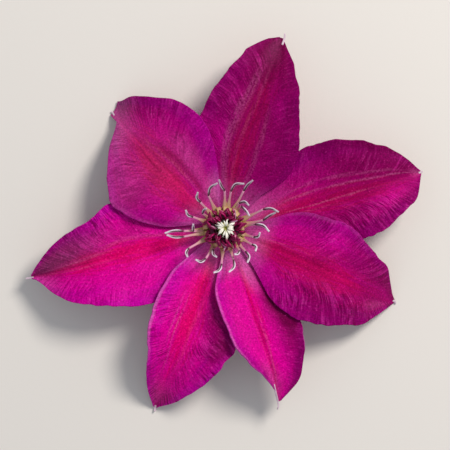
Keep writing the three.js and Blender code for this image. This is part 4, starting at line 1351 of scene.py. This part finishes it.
def anther_tissue(settings):
    """An opened anther: dark purple near its root, with silvery lilac seams where it has opened and
    sheds its pollen, of which the grains are drawn 0.7 mm wide to show."""
    material, tree = new_material("anther_tissue")
    along, across, _ = stored_numbers(tree, "strap")
    silver = add_node(tree, "Attribute", {"attribute_name": "strap_mark"}).outputs["Fac"]
    pollen = tissue_grain(tree, 0.667, 3.0)
    place = add_node(tree, "Math", MULTIPLY_ADD, {0: pollen, 1: 0.5, 2: across})
    first, second, opened = (
        add_node(tree, "MapRange", SMOOTH, {
            "Value": value, "From Min": begins, "From Max": full, "To Max": most,
        })
        for value, begins, full, most in (
            (place, 0.2, 0.7, 1.0), (place, -0.3, -0.6, 0.6), (along, 0.05, 0.4, 1.0),
        )
    )
    seam = add_node(tree, "Math", {"operation": "MAXIMUM"}, {0: first, 1: second})
    bright = add_node(tree, "Mix", OVER, {0: silver, 6: settings.anther_dull, 7: settings.anther_silver})
    colour = lay_on(tree, settings.anther_face, (
        (LINEAR, seam, FULL, FULL, (opened,), bright),
        (SMOOTH, along, (0.6, 0.95), (0.0, 0.8), (), bright),
    ))
    surface = {"Roughness": 0.45, "IOR": 1.45, "Specular IOR Level": 0.4}
    return finish_material(material, colour, pollen, 0.08, surface)


def unopened_anther_tissue(settings):
    """An unopened anther: waxy maroon with a soft gloss, painted shade at its root where the anthers
    crowd, crimson on its two swollen sacs with a painted highlight on their raised edges, and a lilac
    seam, partly a painted glint, on the few that begin to open."""
    material, tree = new_material("unopened_anther_tissue")
    along, across, _ = stored_numbers(tree, "strap")
    mark = add_node(tree, "Attribute", {"attribute_name": "strap_mark"}).outputs["Fac"]
    uneven = tissue_grain(tree, 2.38, 2.0)
    off = add_node(tree, "Math", {"operation": "ABSOLUTE"}, {0: across})
    rising, lit, few = (
        add_node(tree, "MapRange", SMOOTH, {
            "Value": value, "From Min": begins, "From Max": full, "To Max": most,
        })
        for value, begins, full, most in (
            (along, -0.15, 0.35, 1.0), (uneven, 0.3, 0.6, 1.0), (mark, 0.82, 0.88, 0.8),
        )
    )
    each = add_node(tree, "MapRange", LINEAR, {"Value": mark, "To Min": 0.35})
    colour = lay_on(tree, settings.boss_shade, (
        (LINEAR, rising, FULL, FULL, (), settings.boss_deep),
        (SMOOTH, off, (0.1, 0.6), FULL, (lit, each, rising), settings.boss_lit),
        (SMOOTH, across, (0.3, 0.8), FULL, (few, rising), settings.boss_seam_glint),
    ))
    return finish_material(material, colour, uneven, 0.05, {
        "Roughness": 0.28, "IOR": 1.45, "Specular IOR Level": 0.6, "Specular Tint": linear(WAX_GLEAM),
    })


def style_tissue(settings):
    """Style tissue: green at the foot and cream on the downy tip. The down is drawn 0.5 mm wide."""
    material, tree = new_material("style_tissue")
    along, _, _ = stored_numbers(tree, "strap")
    down = tissue_grain(tree, 0.455, 2.0)
    pale = (SMOOTH, along, (0.1, 0.55), FULL, (), settings.style_tip)
    colour = lay_on(tree, settings.style_foot, (pale,))
    surface = {"Roughness": 0.6, "IOR": 1.42, "Specular IOR Level": 0.3}
    return finish_material(material, colour, down, 0.08, surface)


def stalk_skin(settings):
    """Green stalk skin with a purple flush and fine down."""
    material, tree = new_material("stalk_skin")
    flush = tissue_grain(tree, 4.17, 3.0)
    colour = lay_on(tree, settings.stalk, ((SMOOTH, flush, (0.45, 0.7), FULL, (), settings.stalk_flush),))
    surface = {"Roughness": 0.6, "IOR": 1.42, "Specular IOR Level": 0.3, "Sheen Weight": 0.3}
    return finish_material(material, colour, flush, 0.1, surface)


def matt_floor_paint(settings):
    """Pale matt paint, rolled on, which gives the eye nothing but a soft even tone."""
    material, tree = new_material("matt_floor_paint")
    rolled_on = tissue_grain(tree, 2.0, 2.0)
    surface = {"Roughness": 0.9, "Specular IOR Level": 0.1}
    return finish_material(material, settings.floor_colour, rolled_on, 0.02, surface)


def finish_object(bm, name, materials):
    """Put a bmesh in the scene as an object with its materials."""
    mesh = bpy.data.meshes.new(name)
    bm.to_mesh(mesh)
    bm.free()
    for material in materials:
        mesh.materials.append(material)
    made = bpy.data.objects.new(name, mesh)
    bpy.context.scene.collection.objects.link(made)
    return made


def finish_piece(bm, name, node, materials):
    """Make a piece of a bmesh that rides on the flower and stands for its solid."""
    piece = finish_object(bm, name, materials)
    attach(piece, "root")
    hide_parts(node)


class CLEMATIS_OT_sepals(Operator):
    """Model the seven sepals with their ribs, wrinkles and pointed tips."""

    bl_idname = "clematis.sepals"
    bl_label = "Sepals"

    def execute(self, context):
        settings = context.scene.clematis_sepals
        point = plain_tissue("sepal_point_tissue", settings.point, 0.45)
        down = plain_tissue("sepal_down", blend(settings.underside, settings.point, 0.6), 0.6)
        for sepal in SEPALS:
            bm = bmesh.new()
            blade(bm, sepal, settings)
            mucro(bm, sepal, settings)
            down_on_back(bm, sepal, settings, random.Random(sepal["name"]))
            margin = blend(settings.deep_shaded_margin, settings.bright_lit_margin, sepal["tone_and_light"])
            # The rim takes part of the painted highlight along the rolled margin
            edge = blend(margin, settings.rolled_highlight, RIM_HIGHLIGHT * max(sepal["rolled_highlight"]))
            rim = plain_tissue(f"{sepal['name']}_margin_tissue", edge, 0.5)
            skins = [sepal_upper_skin(sepal, settings), sepal_back_skin(sepal, settings)]
            materials = [*skins, rim, point, down]
            finish_piece(bm, f"{sepal['name']}_blade", sepal["name"], materials)
        return {"FINISHED"}


class CLEMATIS_OT_outer_stamens(Operator):
    """Model the ring of opened, curled stamens."""

    bl_idname = "clematis.outer_stamens"
    bl_label = "Outer Stamens"

    def execute(self, context):
        settings = context.scene.clematis_stamens
        rng = random.Random(STAMEN_SEED)
        bm = bmesh.new()
        for row in OUTER_STAMENS:
            outer_stamen(bm, row, settings, jitter(rng, STAMEN_WOBBLE))
        for index in range(BOSS_FILAMENTS):
            azimuth = index * 360 / BOSS_FILAMENTS + jitter(rng, BOSS_FILAMENT_TURN)
            filament_foot(bm, azimuth, settings, rng)
        materials = [filament_tissue(settings), anther_tissue(settings)]
        finish_piece(bm, "outer_stamen_ring", "outer_stamens", materials)
        return {"FINISHED"}


class CLEMATIS_OT_anther_boss(Operator):
    """Model the boss of unopened anthers."""

    bl_idname = "clematis.anther_boss"
    bl_label = "Anther Boss"

    def execute(self, context):
        settings = context.scene.clematis_centre
        rng = random.Random(BOSS_SEED)
        bm = bmesh.new()
        for row in BOSS_ROWS:
            for index in range(row["count"]):
                azimuth = (index + 0.5) * 360 / row["count"] + jitter(rng, BOSS_TURN)
                boss_anther(bm, row, azimuth, settings, rng)
        spun_profile(bm, BOSS_COLLAR, ROUND_SIDES)
        tissue = unopened_anther_tissue(settings)
        finish_piece(bm, "anther_boss", "inner_stamens", [tissue])
        return {"FINISHED"}


class CLEMATIS_OT_styles(Operator):
    """Model the tuft of pale styles."""

    bl_idname = "clematis.styles"
    bl_label = "Styles"

    def execute(self, context):
        settings = context.scene.clematis_centre
        rng = random.Random(STYLE_SEED)
        bm = bmesh.new()
        for azimuth, reach, height in STYLE_BUNDLES:
            for turned, share in STYLE_ARMS:
                arm_azimuth = azimuth + turned + jitter(rng, STYLE_TURN)
                arm_height = height + jitter(rng, STYLE_RISE)
                style_arm(bm, arm_azimuth, reach * share, arm_height, settings, rng)
        spun_profile(bm, STYLE_CORE, CORE_SIDES)
        finish_piece(bm, "style_tuft", "styles", [style_tissue(settings)])
        return {"FINISHED"}


class CLEMATIS_OT_stalk(Operator):
    """Model the ribbed stalk and the receptacle."""

    bl_idname = "clematis.stalk"
    bl_label = "Stalk"

    def execute(self, context):
        settings = context.scene.clematis_centre
        bm = bmesh.new()
        spun_profile(bm, STALK_PROFILE, ROUND_SIDES)
        for vert in bm.verts:
            off = vert.co - FLOWER_AXIS
            rib = STALK_RIB_HEIGHT * math.cos(STALK_RIBS * math.atan2(off.y, off.x))
            ribbed = 1 + rib * smoothstep(off.z / MM, *STALK_RIBS_END)
            vert.co.x = FLOWER_AXIS.x + off.x * ribbed
            vert.co.y = FLOWER_AXIS.y + off.y * ribbed
        rng = random.Random(STALK_SEED)
        for _ in range(settings.stalk_hairs):
            azimuth = rng.uniform(0, 360)
            height = rng.uniform(*STALK_HAIRS_BETWEEN)
            lean = outward_at(azimuth) + UP * rng.uniform(*STALK_HAIR_RISE)
            length = rng.uniform(*STALK_HAIR_LENGTH)
            hair(bm, polar(azimuth, STALK_HAIR_ROOT, height), lean, length, STALK_HAIR_RADIUS, 1)
        materials = [stalk_skin(settings), plain_tissue("stalk_down", linear(STALK_DOWN), 0.6)]
        finish_piece(bm, "stalk_and_receptacle", "stalk", materials)
        return {"FINISHED"}


class CLEMATIS_OT_stage(Operator):
    """Lay the floor, and set the camera, the lights and the ambient light."""

    bl_idname = "clematis.stage"
    bl_label = "Stage"

    def execute(self, context):
        settings = context.scene.clematis_stage
        scene = context.scene
        self.lay_floor(settings)
        self.set_camera(settings, scene)
        self.set_lights(settings, scene)
        scene.view_settings.view_transform = "Standard"
        return {"FINISHED"}

    def lay_floor(self, settings):
        """A wide pale matt floor just under the flower."""
        bm = bmesh.new()
        bmesh.ops.create_grid(bm, x_segments=1, y_segments=1, size=FLOOR_HALF_WIDTH)
        bmesh.ops.translate(bm, verts=bm.verts[:], vec=(0, 0, CAD_BOX[0].z))
        floor = finish_object(bm, "floor", [matt_floor_paint(settings)])

    def set_camera(self, settings, scene):
        """A long lens that looks straight down, with the flower placed as in its reference view."""
        data = bpy.data.cameras.new("camera")
        data.sensor_width = SENSOR_WIDTH
        data.lens = data.sensor_width * settings.camera_distance / settings.view_width
        data.clip_end = CAMERA_SEES_TO
        camera = bpy.data.objects.new("camera", data)
        camera.location = FLOWER_AXIS + MM * Vector((*CAMERA_OFF_AXIS, SEPAL_HEIGHT))
        camera.location.z += settings.camera_distance
        scene.collection.objects.link(camera)
        scene.camera = camera

    def set_lights(self, settings, scene):
        """A broad key light from the upper right and a soft light from all round."""
        light = bpy.data.lights.new("key", "AREA")
        light.shape = "DISK"
        light.size = settings.key_size
        light.energy = settings.key_power
        light.color = linear(KEY_COLOUR)
        key = bpy.data.objects.new("key", light)
        key.location = FLOWER_AXIS + Vector(KEY_PLACE)
        key.rotation_euler = (FLOWER_AXIS - key.location).to_track_quat("-Z", "Y").to_euler()
        scene.collection.objects.link(key)
        world = bpy.data.worlds.new("soft_room_light")
        world.use_nodes = True
        background = world.node_tree.nodes["Background"]
        background.inputs["Color"].default_value = (*linear(ROOM_COLOUR), 1.0)
        background.inputs["Strength"].default_value = settings.world_strength
        scene.world = world


class CLEMATIS_PT_panel(Panel):
    """Sizes, colours and steps of the clematis flower."""

    bl_idname = "CLEMATIS_PT_panel"
    bl_label = "Clematis Flower"
    bl_space_type = "VIEW_3D"
    bl_region_type = "UI"
    bl_category = "Clematis"

    def draw(self, context):
        for step in STEPS:
            self.layout.operator(step.bl_idname)
        for group_name in SETTINGS:
            group = getattr(context.scene, group_name)
            box = self.layout.box()
            for setting in group.__annotations__:
                box.prop(group, setting)


STEPS = (
    CLEMATIS_OT_sepals,
    CLEMATIS_OT_outer_stamens,
    CLEMATIS_OT_anther_boss,
    CLEMATIS_OT_styles,
    CLEMATIS_OT_stalk,
    CLEMATIS_OT_stage,
)
SETTINGS = {
    "clematis_sepals": ClematisSepalSettings,
    "clematis_stamens": ClematisStamenSettings,
    "clematis_centre": ClematisCentreSettings,
    "clematis_stage": ClematisStageSettings,
}


def register():
    """Register the settings, the operators and the panel."""
    for name, group in SETTINGS.items():
        bpy.utils.register_class(group)
        setattr(bpy.types.Scene, name, PointerProperty(type=group))
    for step in STEPS:
        bpy.utils.register_class(step)
    bpy.utils.register_class(CLEMATIS_PT_panel)


def unregister():
    """Take away what register added."""
    bpy.utils.unregister_class(CLEMATIS_PT_panel)
    for step in reversed(STEPS):
        bpy.utils.unregister_class(step)
    for name, group in SETTINGS.items():
        delattr(bpy.types.Scene, name)
        bpy.utils.unregister_class(group)


def main():
    """Build the flower and its stage."""
    register()
    bpy.ops.clematis.sepals()
    bpy.ops.clematis.outer_stamens()
    bpy.ops.clematis.anther_boss()
    bpy.ops.clematis.styles()
    bpy.ops.clematis.stalk()
    bpy.ops.clematis.stage()
    bpy.context.view_layer.update()


if __name__ == "__main__":
    main()
